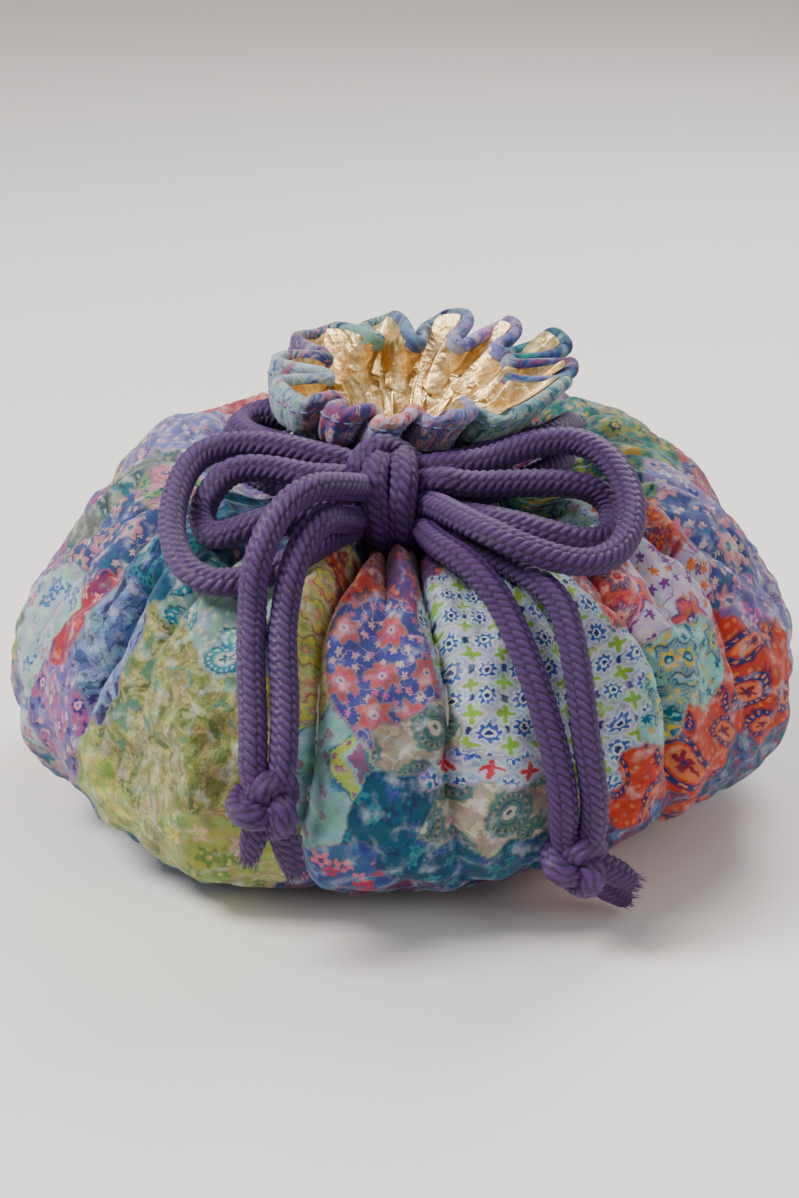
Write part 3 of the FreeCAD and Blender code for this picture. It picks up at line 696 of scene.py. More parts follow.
def flower_motif(g, place, inks):
    """Scattered large flowers with small sprigs between them."""
    ground, one, two, three = inks
    far, turn, chance = g.cells(place, 15.0, 0.75)
    small, small_turn, small_chance = g.cells(g.shift(place, 31.0, 17.0), 4.6, 0.9)
    picked = g.mix(g.step(small_chance[0], 0.45, 0.55), three, two)
    colour = g.mix(petals(g, small, small_turn, small_chance[1], 5.0, 0.26, 0.08), ground, picked)
    vines = g.near(g.noise(place, 0.11, 1.0), 0.5, 0.012, 0.004)
    colour = g.mix(g.math("MULTIPLY", vines, 0.8), colour, three)
    shade = g.mix(0.55, three, (0.02, 0.02, 0.06, 1))
    colour = g.mix(petals(g, far, turn, chance[1], 6.0, 0.36, 0.07), colour, shade)
    streak = g.math("COSINE", g.math("MULTIPLY", turn, 24.0))
    petal = g.mix(g.math("MULTIPLY_ADD", streak, 0.22, 0.25), one, two)
    colour = g.mix(petals(g, far, turn, chance[1], 6.0, 0.31, 0.07), colour, petal)
    colour = g.mix(petals(g, far, turn, chance[1], 6.0, 0.17, 0.04), colour, two)
    colour = g.mix(g.step(far, 0.11, 0.09), colour, three)
    return g.mix(g.step(far, 0.05, 0.03), colour, ground)


def daisy_motif(g, place, inks):
    """Straight rows of daisies, with small links between the rows."""
    ground, one, two, three = inks
    across = g.vector("MULTIPLY", place, (1.0, 1.15, 1.0))
    far, turn, _ = g.cells(across, 8.4, 0.04)
    link, link_turn, _ = g.cells(g.shift(across, 4.2, 4.2), 8.4, 0.04)
    dots = g.cells(g.shift(across, 4.2, 0.0), 8.4, 0.04)[0]
    mist = g.mix(g.math("MULTIPLY", g.noise(place, 0.35, 3.0), 0.35), ground, one)
    colour = g.mix(petals(g, link, link_turn, 0.0, 4.0, 0.20, 0.09), mist, two)
    colour = g.mix(g.step(dots, 0.16, 0.10), colour, three)
    halo = g.mix(0.5, ground, one)
    colour = g.mix(g.step(far, 0.46, 0.40), colour, halo)
    colour = g.mix(petals(g, far, turn, 0.0, 8.0, 0.35, 0.05), colour, ground)
    colour = g.mix(petals(g, far, turn, 0.0, 8.0, 0.27, 0.06), colour, one)
    colour = g.mix(g.step(far, 0.17, 0.14), colour, ground)
    return g.mix(g.step(far, 0.10, 0.07), colour, three)


def rosette_motif(g, place, inks):
    """Large round rosettes drawn as rings."""
    ground, one, two, three = inks
    far, turn, chance = g.cells(place, 15.5, 0.35)
    colour = g.mix(g.near(g.noise(place, 0.22, 2.0), 0.5, 0.05, 0.02), ground, three)
    colour = g.mix(petals(g, far, turn, chance[1], 14.0, 0.42, 0.02), colour, one)
    ring = g.step(g.math("COSINE", g.math("MULTIPLY", far, 62.0)), 0.2, 0.7)
    beads = g.step(g.math("COSINE", g.math("MULTIPLY", turn, 18.0)), -0.2, 0.4)
    drawn = g.mix(g.math("MULTIPLY", ring, 0.8), one, two)
    beads = g.math("MULTIPLY", beads, g.near(far, 0.31, 0.04, 0.02))
    drawn = g.mix(g.math("MULTIPLY", beads, 0.7), drawn, ground)
    colour = g.mix(g.step(far, 0.40, 0.38), colour, drawn)
    colour = g.mix(g.step(far, 0.13, 0.11), colour, three)
    return g.mix(g.step(far, 0.06, 0.04), colour, two)


def foliage_motif(g, place, inks):
    """Swirling painted leaves with dark veins."""
    ground, one, two, three = inks
    field = g.noise(place, 0.075, 2.5, 1.6)
    colour = g.mix(g.step(field, 0.38, 0.46), one, ground)
    colour = g.mix(g.step(field, 0.56, 0.62), colour, two)
    other = g.noise(g.shift(place, 57.0, 91.0), 0.09, 2.0, 1.2)
    swirl = g.vector("SCALE", g.noise(place, 0.09, 1.0, 0.0, 1), scale=26.0)
    strokes = g.noise(g.vector("ADD", place, swirl), 0.32, 2.0)
    colour = g.mix(g.math("MULTIPLY", g.step(strokes, 0.52, 0.60), 0.6), colour, two)
    colour = g.mix(g.math("MULTIPLY", g.step(strokes, 0.44, 0.38), 0.5), colour, one)
    colour = g.mix(g.step(other, 0.60, 0.66), colour, three)
    band = g.math("FRACT", g.math("MULTIPLY", field, 9.0))
    dark = g.mix(0.5, one, (0.02, 0.03, 0.05, 1))
    colour = g.mix(g.math("MULTIPLY", g.near(band, 0.5, 0.10, 0.03), 0.65), colour, dark)
    light = g.step(g.noise(place, 0.5, 2.0), 0.60, 0.72)
    return g.mix(g.math("MULTIPLY", light, 0.6), colour, two)


def paisley_motif(g, place, inks):
    """Nested drops with beaded edges."""
    ground, one, two, three = inks
    bent = g.vector("ADD", place, g.drift(place, 0.05, 0.0, 14.0))
    drop = g.vector("MULTIPLY", bent, (1.0, 0.62, 1.0))
    far, turn, chance = g.cells(drop, 12.5, 0.8)
    specks = g.cells(g.shift(place, 13.0, 7.0), 3.6, 0.9)[0]
    colour = g.mix(g.math("MULTIPLY", g.step(specks, 0.26, 0.18), 0.8), ground, two)
    colour = g.mix(petals(g, far, turn, chance[1], 16.0, 0.44, 0.02), colour, three)
    colour = g.mix(g.step(far, 0.41, 0.39), colour, one)
    beads = g.step(g.math("COSINE", g.math("MULTIPLY", turn, 16.0)), 0.0, 0.5)
    colour = g.mix(g.math("MULTIPLY", beads, g.near(far, 0.34, 0.035, 0.02)), colour, two)
    colour = g.mix(g.step(far, 0.28, 0.26), colour, ground)
    colour = g.mix(g.step(far, 0.24, 0.22), colour, two)
    colour = g.mix(petals(g, far, turn, chance[1], 5.0, 0.13, 0.05), colour, three)
    return g.mix(g.step(far, 0.05, 0.03), colour, one)


def ditsy_motif(g, place, inks):
    """Small flowers close together."""
    ground, one, two, three = inks
    far, turn, chance = g.cells(place, 5.2, 0.85)
    tint = g.mix(g.step(chance[0], 0.32, 0.36), one, two)
    tint = g.mix(g.step(chance[0], 0.66, 0.70), tint, three)
    soft = g.mix(g.step(g.noise(place, 0.16, 3.0), 0.42, 0.60), ground, g.mix(0.55, ground, two))
    colour = g.mix(petals(g, far, turn, chance[1], 5.0, 0.33, 0.10), soft, tint)
    colour = g.mix(g.step(far, 0.15, 0.11), colour, ground)
    return g.mix(g.step(far, 0.07, 0.05), colour, one)


def velvet_material():
    """Printed pile: each patch's motif in its inks, blurred, blotched and shaded by the nap."""
    g = Graph("printed_velvet")
    weave = g.attribute("weave")
    smear = g.vector("ADD", g.drift(weave, 1.1, 3.0, 1.5), g.drift(weave, 0.12, 1.0, 4.0))
    place = g.vector("ADD", g.attribute("cloth"), smear)
    inks = [g.attribute(name, "Color") for name in ("ground", "ink_one", "ink_two", "ink_three")]
    first, second = g.parts(g.attribute("motif_a")), g.parts(g.attribute("motif_b"))
    colour = flower_motif(g, place, inks)
    for weight, motif in ((first[1], daisy_motif), (first[2], rosette_motif),
                          (second[0], foliage_motif), (second[1], paisley_motif),
                          (second[2], ditsy_motif)):
        colour = g.mix(weight, colour, motif(g, place, inks))
    tint = g.noise(weave, 0.30, 3.0, 0.5, 1)
    colour = g.mix(0.55, colour, g.mix(1.0, colour, g.vector("SCALE", tint, scale=2.0), "MULTIPLY"))
    blotch = g.noise(weave, 0.22, 4.0)
    colour = g.mix(g.math("MULTIPLY", g.step(blotch, 0.5, 0.75), 0.35), colour, (0.62, 0.66, 0.70, 1))
    colour = g.mix(g.math("MULTIPLY", g.step(blotch, 0.48, 0.25), 0.30), colour, (0.03, 0.04, 0.09, 1))
    grain = g.noise(g.vector("MULTIPLY", weave, (5.0, 2.2, 1.0)), 1.0, 3.0)
    shade = g.mix(grain, (0.62, 0.62, 0.62, 1), (1.30, 1.30, 1.30, 1))
    colour = g.mix(1.0, colour, shade, "MULTIPLY")
    g.feed(g.shader.inputs["Base Color"], colour)
    g.set(Roughness=0.82, Sheen_Weight=0.22, Sheen_Roughness=0.35, Specular_IOR_Level=0.25)
    pile = g.bump(g.noise(g.vector("MULTIPLY", weave, (7.0, 3.5, 1.0)), 1.0, 2.0), 0.00025, 0.7)
    crush = g.bump(g.noise(weave, 0.35, 3.0), 0.0006, 0.5, pile)
    g.feed(g.shader.inputs["Normal"], crush)
    return g.material


def gold_material():
    """Foiled knit: crackled metal over a fine rib."""
    g = Graph("gold_lining")
    place = g.add("ShaderNodeTexCoord").outputs["Object"]
    crackle = g.noise(place, 420.0, 4.0, 0.8)
    tone = g.mix(g.step(crackle, 0.35, 0.7), (0.60, 0.39, 0.14, 1), (0.90, 0.70, 0.38, 1))
    g.feed(g.shader.inputs["Base Color"], tone)
    g.set(Metallic=0.9)
    g.feed(g.shader.inputs["Roughness"], g.math("MULTIPLY_ADD", crackle, 0.35, 0.16))
    knit = g.add("ShaderNodeTexWave", Vector=place, Scale=900.0, Distortion=1.5)
    fine = g.bump(knit.outputs[1], 0.00008, 0.5)
    wide = g.bump(g.noise(place, 260.0, 3.0, 1.0), 0.0009, 0.8, fine)
    g.feed(g.shader.inputs["Normal"], wide)
    return g.material


def cord_material():
    """Purple thread, with painted shade in the grooves of the braid and painted highlights on its ribs.
    """
    g = Graph("purple_cord")
    lay = g.attribute("lay")
    height = g.parts(lay)[2]
    threads = g.noise(g.vector("MULTIPLY", lay, (30.0, 1.4, 1.0)), 1.0, 3.0)
    # Painted shade: the purple darkens from the rib tops down into the braid's grooves.
    deep = g.mix(g.step(height, 0.05, 0.75), (0.005, 0.001, 0.014, 1), (0.046, 0.008, 0.092, 1))
    # Painted highlight: a lighter purple on the rib tops, broken up by thread streaks.
    painted_rib_highlight = g.math("MULTIPLY", g.step(threads, 0.45, 0.75), g.step(height, 0.4, 1.0))
    tone = g.mix(painted_rib_highlight, deep, (0.098, 0.029, 0.168, 1))
    g.feed(g.shader.inputs["Base Color"], tone)
    g.feed(g.shader.inputs["Roughness"], g.math("MULTIPLY_ADD", threads, -0.2, 0.62))
    g.set(Sheen_Weight=0.06, Sheen_Roughness=0.4, Sheen_Tint=(0.75, 0.6, 1.0, 1))
    g.feed(g.shader.inputs["Normal"], g.bump(threads, 0.00035, 0.8))
    return g.material


def plain_material(name, colour, roughness, grain_scale=0.0, grain_depth=0.0):
    """One screen colour, with a fine grain if it is given a scale."""
    g = Graph(name)
    g.feed(g.shader.inputs["Base Color"], (*linear(colour), 1))
    g.feed(g.shader.inputs["Roughness"], roughness)
    if grain_scale:
        place = g.add("ShaderNodeTexCoord").outputs["Object"]
        grain = g.noise(place, grain_scale, 3.0)
        tone = g.mix(grain, (*(0.82 * linear(colour)), 1), (*np.minimum(1, 1.12 * linear(colour)), 1))
        g.feed(g.shader.inputs["Base Color"], tone)
        g.feed(g.shader.inputs["Normal"], g.bump(grain, grain_depth, 0.6))
    return g.material


# ------------------------------------------------------------------ cords
# The route of each length of cord, in millimetres.
ROUTES = {
    "left_lead_1": (
        (-28.5, -3.6, 98.4), (-36, -3.6, 98.4), (-40.5, -10.5, 98.7), (-38, -19.5, 98.7),
        (-30, -26.5, 98.3), (-19.5, -31, 97), (-9, -34.5, 94)),
    "left_lead_2": (
        (-28.5, 3.6, 98.4), (-36, 3.6, 98.4), (-42, -1, 94), (-42.5, -11, 91.3),
        (-37, -22, 90), (-29, -31, 89.3), (-20, -36, 88.6), (-11.5, -38, 87.5)),
    "right_lead_1": (
        (28.5, -3.6, 91.6), (36, -3.6, 91.6), (40.5, -10.5, 91.2), (37.5, -20.5, 90.4),
        (28.5, -29.5, 89.6), (17, -34.5, 88.4), (5, -36, 86.8)),
    "right_lead_2": (
        (28.5, 3.6, 91.6), (36, 3.6, 91.6), (42, -1, 95.8), (42, -11, 98.3),
        (36.5, -21.5, 98.8), (27.5, -28, 98.2), (16.5, -31.5, 96.5), (4, -34.5, 93.2)),
    "left_tail_1": (
        (-2, -41, 91), (-8.5, -47.5, 94.2), (-12, -59, 98), (-19.5, -68.5, 101.5),
        (-26, -75, 99.5), (-30.3, -80, 93.5), (-33.2, -83, 85.5), (-33.6, -84, 76.5),
        (-34, -89, 69.5), (-33.5, -94.5, 61), (-33, -100.5, 53), (-33.3, -104, 45.4),
        (-31.5, -104, 41.5)),
    "left_tail_2": (
        (-2, -42, 87), (-9.5, -47, 86.5), (-13, -58, 89.5), (-17, -69, 94),
        (-22, -76, 91.5), (-24.8, -81, 85), (-26.4, -84, 76.5), (-26.8, -89, 69.5),
        (-26, -94.5, 61), (-26, -100.5, 53), (-26.6, -104, 45.4), (-28, -104, 41.5)),
    "right_tail_1": (
        (-3, -42, 87), (4, -46.5, 86), (6.5, -56.5, 85), (9, -66, 86), (14.5, -72, 84.5),
        (19.5, -77.5, 81), (23, -80.8, 76.6), (26.5, -87, 70.5), (30, -92.5, 62.5),
        (33, -96.5, 53.5), (35.5, -99.5, 44), (36.6, -100.5, 35.5), (36.3, -99, 28.2),
        (38, -98.5, 24.5)),
    "right_tail_2": (
        (-3, -40, 85), (4.5, -44.5, 82.5), (10.5, -53.5, 83.2), (18, -61, 84.4),
        (25.5, -68, 82.2), (32, -74.8, 79.8), (36.5, -80.8, 76.6), (38.5, -87, 69.5),
        (40, -92.5, 61.5), (41, -97, 52.5), (42.6, -99.5, 43), (43.6, -100, 35.5),
        (43.1, -98.6, 28.4), (41.5, -98, 24.5)),
    "left_loop_outer": (
        (-4, -41, 95), (-14, -40, 98.5), (-20, -38.5, 99.3), (-30.5, -35, 100.8), (-41.5, -33, 100.5),
        (-50.5, -37, 98), (-54.5, -52, 89.5), (-51.5, -67, 82), (-43, -73.5, 79),
        (-32, -72, 80.8), (-22, -65.5, 84.2), (-17, -57.5, 85), (-13, -50, 84.6), (-4, -43, 87)),
    "left_loop_inner": (
        (-4, -43, 93), (-14, -46.5, 96.5), (-21, -45.5, 96), (-31, -42, 97.2), (-39.5, -41, 97),
        (-44.5, -42.5, 93), (-48, -45.5, 86.5), (-44.5, -53, 83), (-35.5, -56, 87.5),
        (-24.5, -54, 90.5), (-14, -50, 91), (-4, -43, 90)),
    "right_loop_outer": (
        (-2, -41, 94), (6, -40, 97), (13.5, -40.5, 97.5), (21, -38, 98), (31, -34.5, 101.2),
        (42.5, -34, 102), (51, -42, 98.5), (54.5, -55, 91.5), (51, -67, 85.5),
        (42, -74.5, 84.2), (30.5, -75.5, 87.6), (20, -71, 90.9), (12, -60.5, 91.7),
        (7, -49.5, 91), (-2, -42, 89)),
    "right_loop_inner": (
        (-2, -42, 92), (8, -47, 96.5), (15, -47.2, 94.6), (26, -44.5, 94.3), (37.5, -43, 94),
        (46, -41.5, 92), (50.5, -44, 87.5), (50, -50.5, 83.8), (44, -55.5, 83.2),
        (35.5, -57.5, 85.8), (25.5, -55.5, 88), (16, -50.5, 88), (8, -45, 88), (-2, -41, 88)),
    "left_tip_1": ((-31, -104, 37), (-33.2, -104, 31.6), (-34, -103.6, 25.5)),
    "left_tip_2": ((-29, -104, 37), (-26.4, -104, 31.6), (-24.6, -103.6, 22)),
    "right_tip_1": ((42, -98.5, 22), (46.5, -97.2, 19.6), (52.5, -92.5, 14)),
    "right_tip_2": ((40.5, -96, 20), (42, -92.6, 16), (52, -83.5, 5)),
    "bow_wrap_left": (
        (-4.6, -36, 84), (-4.8, -34, 90), (-4.8, -37, 98), (-5.4, -44.5, 99.8),
        (-6.6, -50.2, 97), (-6.0, -51.6, 90.5), (-4.9, -50.2, 82.6), (-4.0, -44.5, 79),
        (-4.4, -37.5, 82), (-4.8, -34.4, 88), (-4.8, -36, 93)),
    "bow_wrap_right": (
        (-0.6, -36, 84), (-0.4, -34, 90), (-0.4, -37, 98), (0.4, -44.5, 100),
        (0.6, -50.6, 96.4), (-0.2, -52, 90), (0, -50.6, 82.6), (0.8, -44.5, 79),
        (-0.2, -37.5, 82), (-0.4, -34.4, 88), (-0.4, -36, 93)),
    "bow_wrap_behind": (
        (-10, -42, 90), (-11.4, -45, 96), (-8, -42.5, 101.5), (-2.5, -39, 102), (3, -39, 97)),
}


def route_line(points, step):
    """Evenly spaced points on the smooth line that the given route points steer, in mm."""
    curve = bpy.data.curves.new("route", "CURVE")
    curve.dimensions = "3D"
    spline = curve.splines.new("NURBS")
    spline.points.add(len(points) - 1)
    for point, place in zip(spline.points, points):
        point.co = (*(0.001 * value for value in place), 1)
    spline.order_u = 3
    spline.use_endpoint_u = True
    spline.resolution_u = 24
    holder = add_object("route", curve)
    bpy.context.view_layer.update()
    mesh = bpy.data.meshes.new_from_object(holder)
    line = np.array([vertex.co for vertex in mesh.vertices]) * 1000
    bpy.data.objects.remove(holder)
    bpy.data.curves.remove(curve)
    bpy.data.meshes.remove(mesh)
    return even_spacing(line, step)


def carried_frames(line, closed=False):
    """Two directions square to the line at each point, turning as little as they can."""
    if closed:
        tangent = unit(np.roll(line, -1, 0) - np.roll(line, 1, 0))
    else:
        tangent = unit(np.gradient(line, axis=0))
    first = np.zeros_like(line)
    start = np.array([0.0, 0.0, 1.0]) if abs(tangent[0][2]) < 0.8 else np.array([1.0, 0, 0])
    side = start - tangent[0] * start.dot(tangent[0])
    for k, direction in enumerate(tangent):
        side = side - direction * side.dot(direction)
        side /= np.linalg.norm(side)
        first[k] = side
    second = np.cross(tangent, first)
    if closed:
        twist = math.atan2(first[-1].dot(second[0]), first[-1].dot(first[0]))
        turn = -np.linspace(0, 1, len(line))[:, None] * twist
        cos, sin = np.cos(turn), np.sin(turn)
        first, second = first * cos + second * sin, second * cos - first * sin
    return first, second


def tube(line, size, first, second, spin):
    """Rings about a line: a row for each point of it, and a column for each angle."""
    return line[:, None] + size[..., None] * (
        np.cos(spin)[None, :, None] * first[:, None] + np.sin(spin)[None, :, None] * second[:, None])


def braid_height(turn, along):
    """0 in the grooves of the braid to 1 on its ribs."""
    column = turn / TURN * RIB_COLUMNS
    number = np.floor(column)
    inside = column - number - 0.5
    phase = along / RIB_PITCH + 1.15 * inside + 0.5 * (number % 2)
    rib = np.abs(np.cos(math.pi * phase)) ** 0.75
    edge = 1 - (2 * np.abs(inside)) ** 4 * 0.6
    return rib * edge


def braided(name, line, radius=CORD / 2, closed=False, taper=None, relief=0.42):
    """A braided cord along a line: a tube with raised slanting ribs."""
    along = run_along(line)
    turn = np.arange(SIDES) / SIDES * TURN
    height = braid_height(turn[None, :], along[:, None])
    size = radius - relief + relief * 1.25 * height
    if taper is not None:
        size = size * np.interp(along / along[-1], *taper)[:, None]
    ring = tube(line, size, *carried_frames(line, closed), turn)
    if closed:
        ring = np.concatenate([ring, ring[:1]])
        height = np.concatenate([height, height[:1]])
        along = np.concatenate([along, [along[-1] + 1 / RINGS_PER_MM]])
    else:
        ends = [ring[end] * 0.3 + line[end] * 0.7 for end in (0, -1)]
        ring = np.concatenate([ends[:1], ring, ends[1:]])
        height = np.concatenate([height[:1], height, height[-1:]])
        along = np.concatenate([along[:1], along, along[-1:]])
    thing = grid_object(name, ring)
    # The third value is the braid's height, 0 in a groove to 1 on a rib; the cord material paints shade
    # in the grooves and highlights on the ribs from it.
    lay = np.stack([np.broadcast_to(np.cos(turn) * 2, height.shape),
                    np.broadcast_to(along[:, None], height.shape), height], -1)
    put(thing, "lay", "FLOAT_VECTOR", lay)
    return thing


def join(name, things):
    """One object from several meshes that share their attributes."""
    points, faces, lays, start = [], [], [], 0
    for thing in things:
        mesh = thing.data
        co = np.zeros(len(mesh.vertices) * 3)
        mesh.vertices.foreach_get("co", co)
        lay = np.zeros(len(mesh.vertices) * 3, np.float32)
        mesh.attributes["lay"].data.foreach_get("vector", lay)
        index = np.zeros(len(mesh.loops), np.int32)
        mesh.loops.foreach_get("vertex_index", index)
        points.append(co.reshape(-1, 3) * 1000)
        lays.append(lay.reshape(-1, 3))
        faces.append(index.reshape(-1, 4) + start)
        start += len(mesh.vertices)
        bpy.data.objects.remove(thing)
    joined = mesh_object(name, np.vstack(points), np.vstack(faces))
    put(joined, "lay", "FLOAT_VECTOR", np.vstack(lays))
    return joined


def frayed_end(name, place, direction, radius, length, seed, count=70):
    """The loose fibres at the cut end of a cord."""
    pick = np.random.default_rng(seed)
    direction = unit(np.array(direction, float))
    side = unit(np.cross(direction, (0.3, 0.9, 0.2)))
    other = np.cross(direction, side)
    strands = []
    for k in range(count):
        turn, far = pick.uniform(0, TURN), radius * math.sqrt(pick.uniform(0, 1))
        out = side * math.cos(turn) + other * math.sin(turn)
        start = np.array(place) + out * far - direction * 1.0
        bend = out * pick.uniform(-0.1, 0.35) + direction
        reach = length * pick.uniform(0.55, 1.0)
        t = np.linspace(0, 1, 7)[:, None]
        line = start + bend * reach * t + out * 0.3 * np.sin(3 * t + k) * t
        line[:, 2] = np.maximum(line[:, 2], 0.4)
        spin = np.arange(5) / 5 * TURN
        width = 0.16 * (1 - 0.7 * t)
        strand = grid_object(name + "_fibre", tube(line, width, *carried_frames(line), spin))
        put(strand, "lay", "FLOAT_VECTOR", np.broadcast_to((k * 0.7, 3.0 * k, 0.8), (len(t), 5, 3)))
        strands.append(strand)
    return join(name, strands)


def knot_line(centre, size, turn_z, tilt, squash):
    """The closed line of a simple overhand knot about a centre."""
    t = np.linspace(0, TURN, 400, endpoint=False)
    line = np.stack([np.sin(t) + 2 * np.sin(2 * t), (np.cos(t) - 2 * np.cos(2 * t)) * squash,
                     -1.9 * np.sin(3 * t)], 1) * size
    cz, sz, ct, st = math.cos(turn_z), math.sin(turn_z), math.cos(tilt), math.sin(tilt)
    line = line @ np.array([[cz, sz, 0], [-sz, cz, 0], [0, 0, 1]])
    line = line @ np.array([[1, 0, 0], [0, ct, st], [0, -st, ct]])
    return line + np.array(centre)


# ------------------------------------------------------------------ building the pouch
def build_cloth(velvet, gold, filler):
    """The side's three layers, and the outer one's grid and distances for the stitching."""
    angle = np.linspace(-math.pi, math.pi, COLUMNS, endpoint=False)
    rows = profile_rows()
    lower = body_points(angle, rows)
    frill = frill_points(angle, lower[-1])
    outside = np.concatenate([lower, frill])
    rim = rim_rows(outside)
    frill_along = rows[3][-1] + FRILL_LENGTH * np.arange(1, FRILL_ROWS + 1) / FRILL_ROWS
    along = np.concatenate([rows[3], frill_along])
    rim_along = along[-1] + np.linspace(0.4, 5.5, len(rim))
    panel = grid_object("velvet_panel", np.concatenate([outside, rim]))
    print_cloth(panel, angle[None, :], np.concatenate([along, rim_along])[:, None])
    panel.data.materials.append(velvet)
    lining = build_lining(angle, outside)
    lining.data.materials.append(gold)
    middle = grid_object("interlining_layer", body_points(angle[::3], rows_below(172), 1.7))
    middle.data.materials.append(filler)
    return panel, lining, middle, outside, along


def build_lining(angle, outside):
    """The gold lining: inside the frill, down through the gathered throat and round the pouch."""
    inward = unit(soften(grid_normals(outside), 3))
    offset = outside - inward * (2 * RIM_RADIUS + 0.25)
    top = offset[-2:-FRILL_ROWS + 1:-1].copy()
    # The lower part draws in, to pass inside the cords in the casing.
    top[..., :2] *= 1 - 0.27 * np.linspace(0, 1, len(top))[:, None, None] ** 2
    mouth = top[-1]
    throat = []
    turn = np.arctan2(mouth[:, 0], -mouth[:, 1])
    radius = np.hypot(mouth[:, 0], mouth[:, 1])
    folds = waves(angle, 0 * angle, 61, 16, 26, 5, 50)
    for part in np.linspace(0.06, 1, 22):
        deep = THROAT_RADIUS + 2.6 * folds * math.sin(math.pi * min(part, 0.9))
        size = radius * (1 - part) ** 1.4 + deep * (1 - (1 - part) ** 1.4)
        z = mouth[:, 2] - THROAT_DEPTH * part + 1.6 * folds * math.sin(math.pi * part)
        throat.append(about_axis(size, turn, z) + (2 * (1 - part), 0, 0))
    chute = [throat[-1] - (0, 0, drop) for drop in (4, 9, 15, 21)]
    rows = rows_below(152)
    inset = LINING_INSET + 5 * blend_step(rows[3], 95, 150)[:, None]
    inside = body_points(angle, rows, inset)[::-1]
    grid = np.concatenate([top, np.stack(throat), np.stack(chute), inside])
    return grid_object("gold_lining_layer", grid[:, ::2])


def ring_of(outline, count, ripple, seed):
    """A round piece turned from an outline of radius and height, with a slight ripple."""
    angle = np.linspace(0, TURN, count, endpoint=False)
    outline = np.array(outline, float)
    wave = 1 + ripple * waves(angle, 0 * angle, seed, 3, 12, 6, 50)
    r = outline[:, :1] * wave[None, :]
    heights = np.broadcast_to(outline[:, 1:], r.shape)
    return about_axis(r, np.broadcast_to(angle, r.shape), heights), angle


def build_base(velvet, gold, filler):
    """The round base's three layers, outermost first."""
    disc = [(0.2, 0.15), (12, 0.1), (24, 0.2), (36, 0.1), (43, 0.2), (45.6, 0.1), (46.6, 0.5),
            (46.2, 1.3), (44, 1.7), (30, 1.6), (0.2, 1.6)]
    points, angle = ring_of(smooth_line(disc, 0.9), 420, 0.002, 71)
    base = grid_object("velvet_base", points)
    print_cloth(base, angle[None, :], np.hypot(points[..., 0], points[..., 1]) - 60)
    base.data.materials.append(velvet)
    pieces = [base]
    for name, low, high, material in (("base_interlining_layer", 1.75, 3.4, filler),
                                      ("gold_base", 3.6, 4.3, gold)):
        shape = [(0.2, low), (30, low), (45, low), (45.8, (low + high) / 2), (45, high), (30, high),
                 (0.2, high)]
        piece = grid_object(name, ring_of(shape, 240, 0.002, 73)[0])
        piece.data.materials.append(material)
        pieces.append(piece)
    return pieces


def stitch_run(name, line, normal, material, length=2.3, gap=0.9, radius=0.3, rise=0.12):
    """A row of short stitches laid along a closed line on the cloth."""
    wrapped, normals = np.vstack([line, line[:1]]), np.vstack([normal, normal[:1]])
    run = run_along(wrapped)
    count = int(run[-1] / (length + gap))
    t = np.linspace(-1, 1, STITCH_RINGS)
    spin = np.arange(STITCH_SIDES) / STITCH_SIDES * TURN
    width = radius * np.sqrt(np.clip(1.02 - t ** 4, 0, 1))
    points, faces, start = [], [], 0
    for k in range(count):
        where = (k + 0.5) / count * run[-1] + t * length / 2
        centre = np.stack([np.interp(where, run, wrapped[:, j]) for j in range(3)], 1)
        up = np.stack([np.interp(where, run, normals[:, j]) for j in range(3)], 1)
        centre = centre + up * (rise - 0.25 * t[:, None] ** 4)
        ahead = np.gradient(centre, axis=0)
        side = np.cross(ahead, up)
        side /= np.maximum(np.linalg.norm(side, axis=1)[:, None], 1e-9)
        points.append(tube(centre, width[:, None], side, up, spin).reshape(-1, 3))
        index = np.arange(len(points[-1])).reshape(STITCH_RINGS, STITCH_SIDES) + start
        right = np.roll(index, -1, 1)
        faces.append(np.stack([index[:-1], right[:-1], right[1:], index[1:]], -1).reshape(-1, 4))
        start += len(points[-1])
    thing = mesh_object(name, np.vstack(points), np.vstack(faces))
    thing.data.materials.append(material)
    return thing


def buttonhole(name, side, material):
    """Close stitches round the slot that the cords come out of."""
    turn = np.linspace(0, TURN, 400, endpoint=False)
    y = 7.6 * np.sign(np.cos(turn)) * np.abs(np.cos(turn)) ** 0.7
    z = EXIT_HEIGHT[side] + 3.4 * np.sign(np.sin(turn)) * np.abs(np.sin(turn)) ** 0.8
    x = SIDE_SIGN[side] * np.sqrt(np.maximum(EXIT_RADIUS ** 2 - y ** 2, 0))
    line = np.stack([x, y, z], 1)
    out = unit(np.stack([x, y, 0 * y], 1))
    return stitch_run(name, line, out, material, 0.55, 0.08, 0.75, 0.25)


def build_stitching(outside, along, thread):
    """Every line of stitching, by the name of the CAD piece that it stands for."""
    normal = grid_normals(outside)
    back_height = outside[:, 0, 2]
    rows = {"rim_stitches": ("rim_topstitching", len(along) - 6)}
    for level, node in ((86.0, "casing_lower_stitching"), (99.0, "casing_upper_stitching")):
        above = np.where((along > 165) & (back_height > level))[0]
        rows[node.replace("stitching", "stitches")] = (node, int(above[0]))
    things = {}
    for name, (node, row) in rows.items():
        things[node] = stitch_run(name, outside[row], normal[row], thread)
    low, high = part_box("base_seam_thread")
    turn = np.linspace(0, TURN, 600, endpoint=False)
    circle = about_axis(high.x * 1000, turn, 0 * turn + (low.z + high.z) * 500)
    out = about_axis(0.4, turn, 0 * turn - 0.9)
    things["base_seam_thread"] = stitch_run("base_seam_stitches", circle, out, thread)
    for side in ("left", "right"):
        things[side + "_buttonhole"] = buttonhole(side + "_buttonhole_stitches", side, thread)
    return things


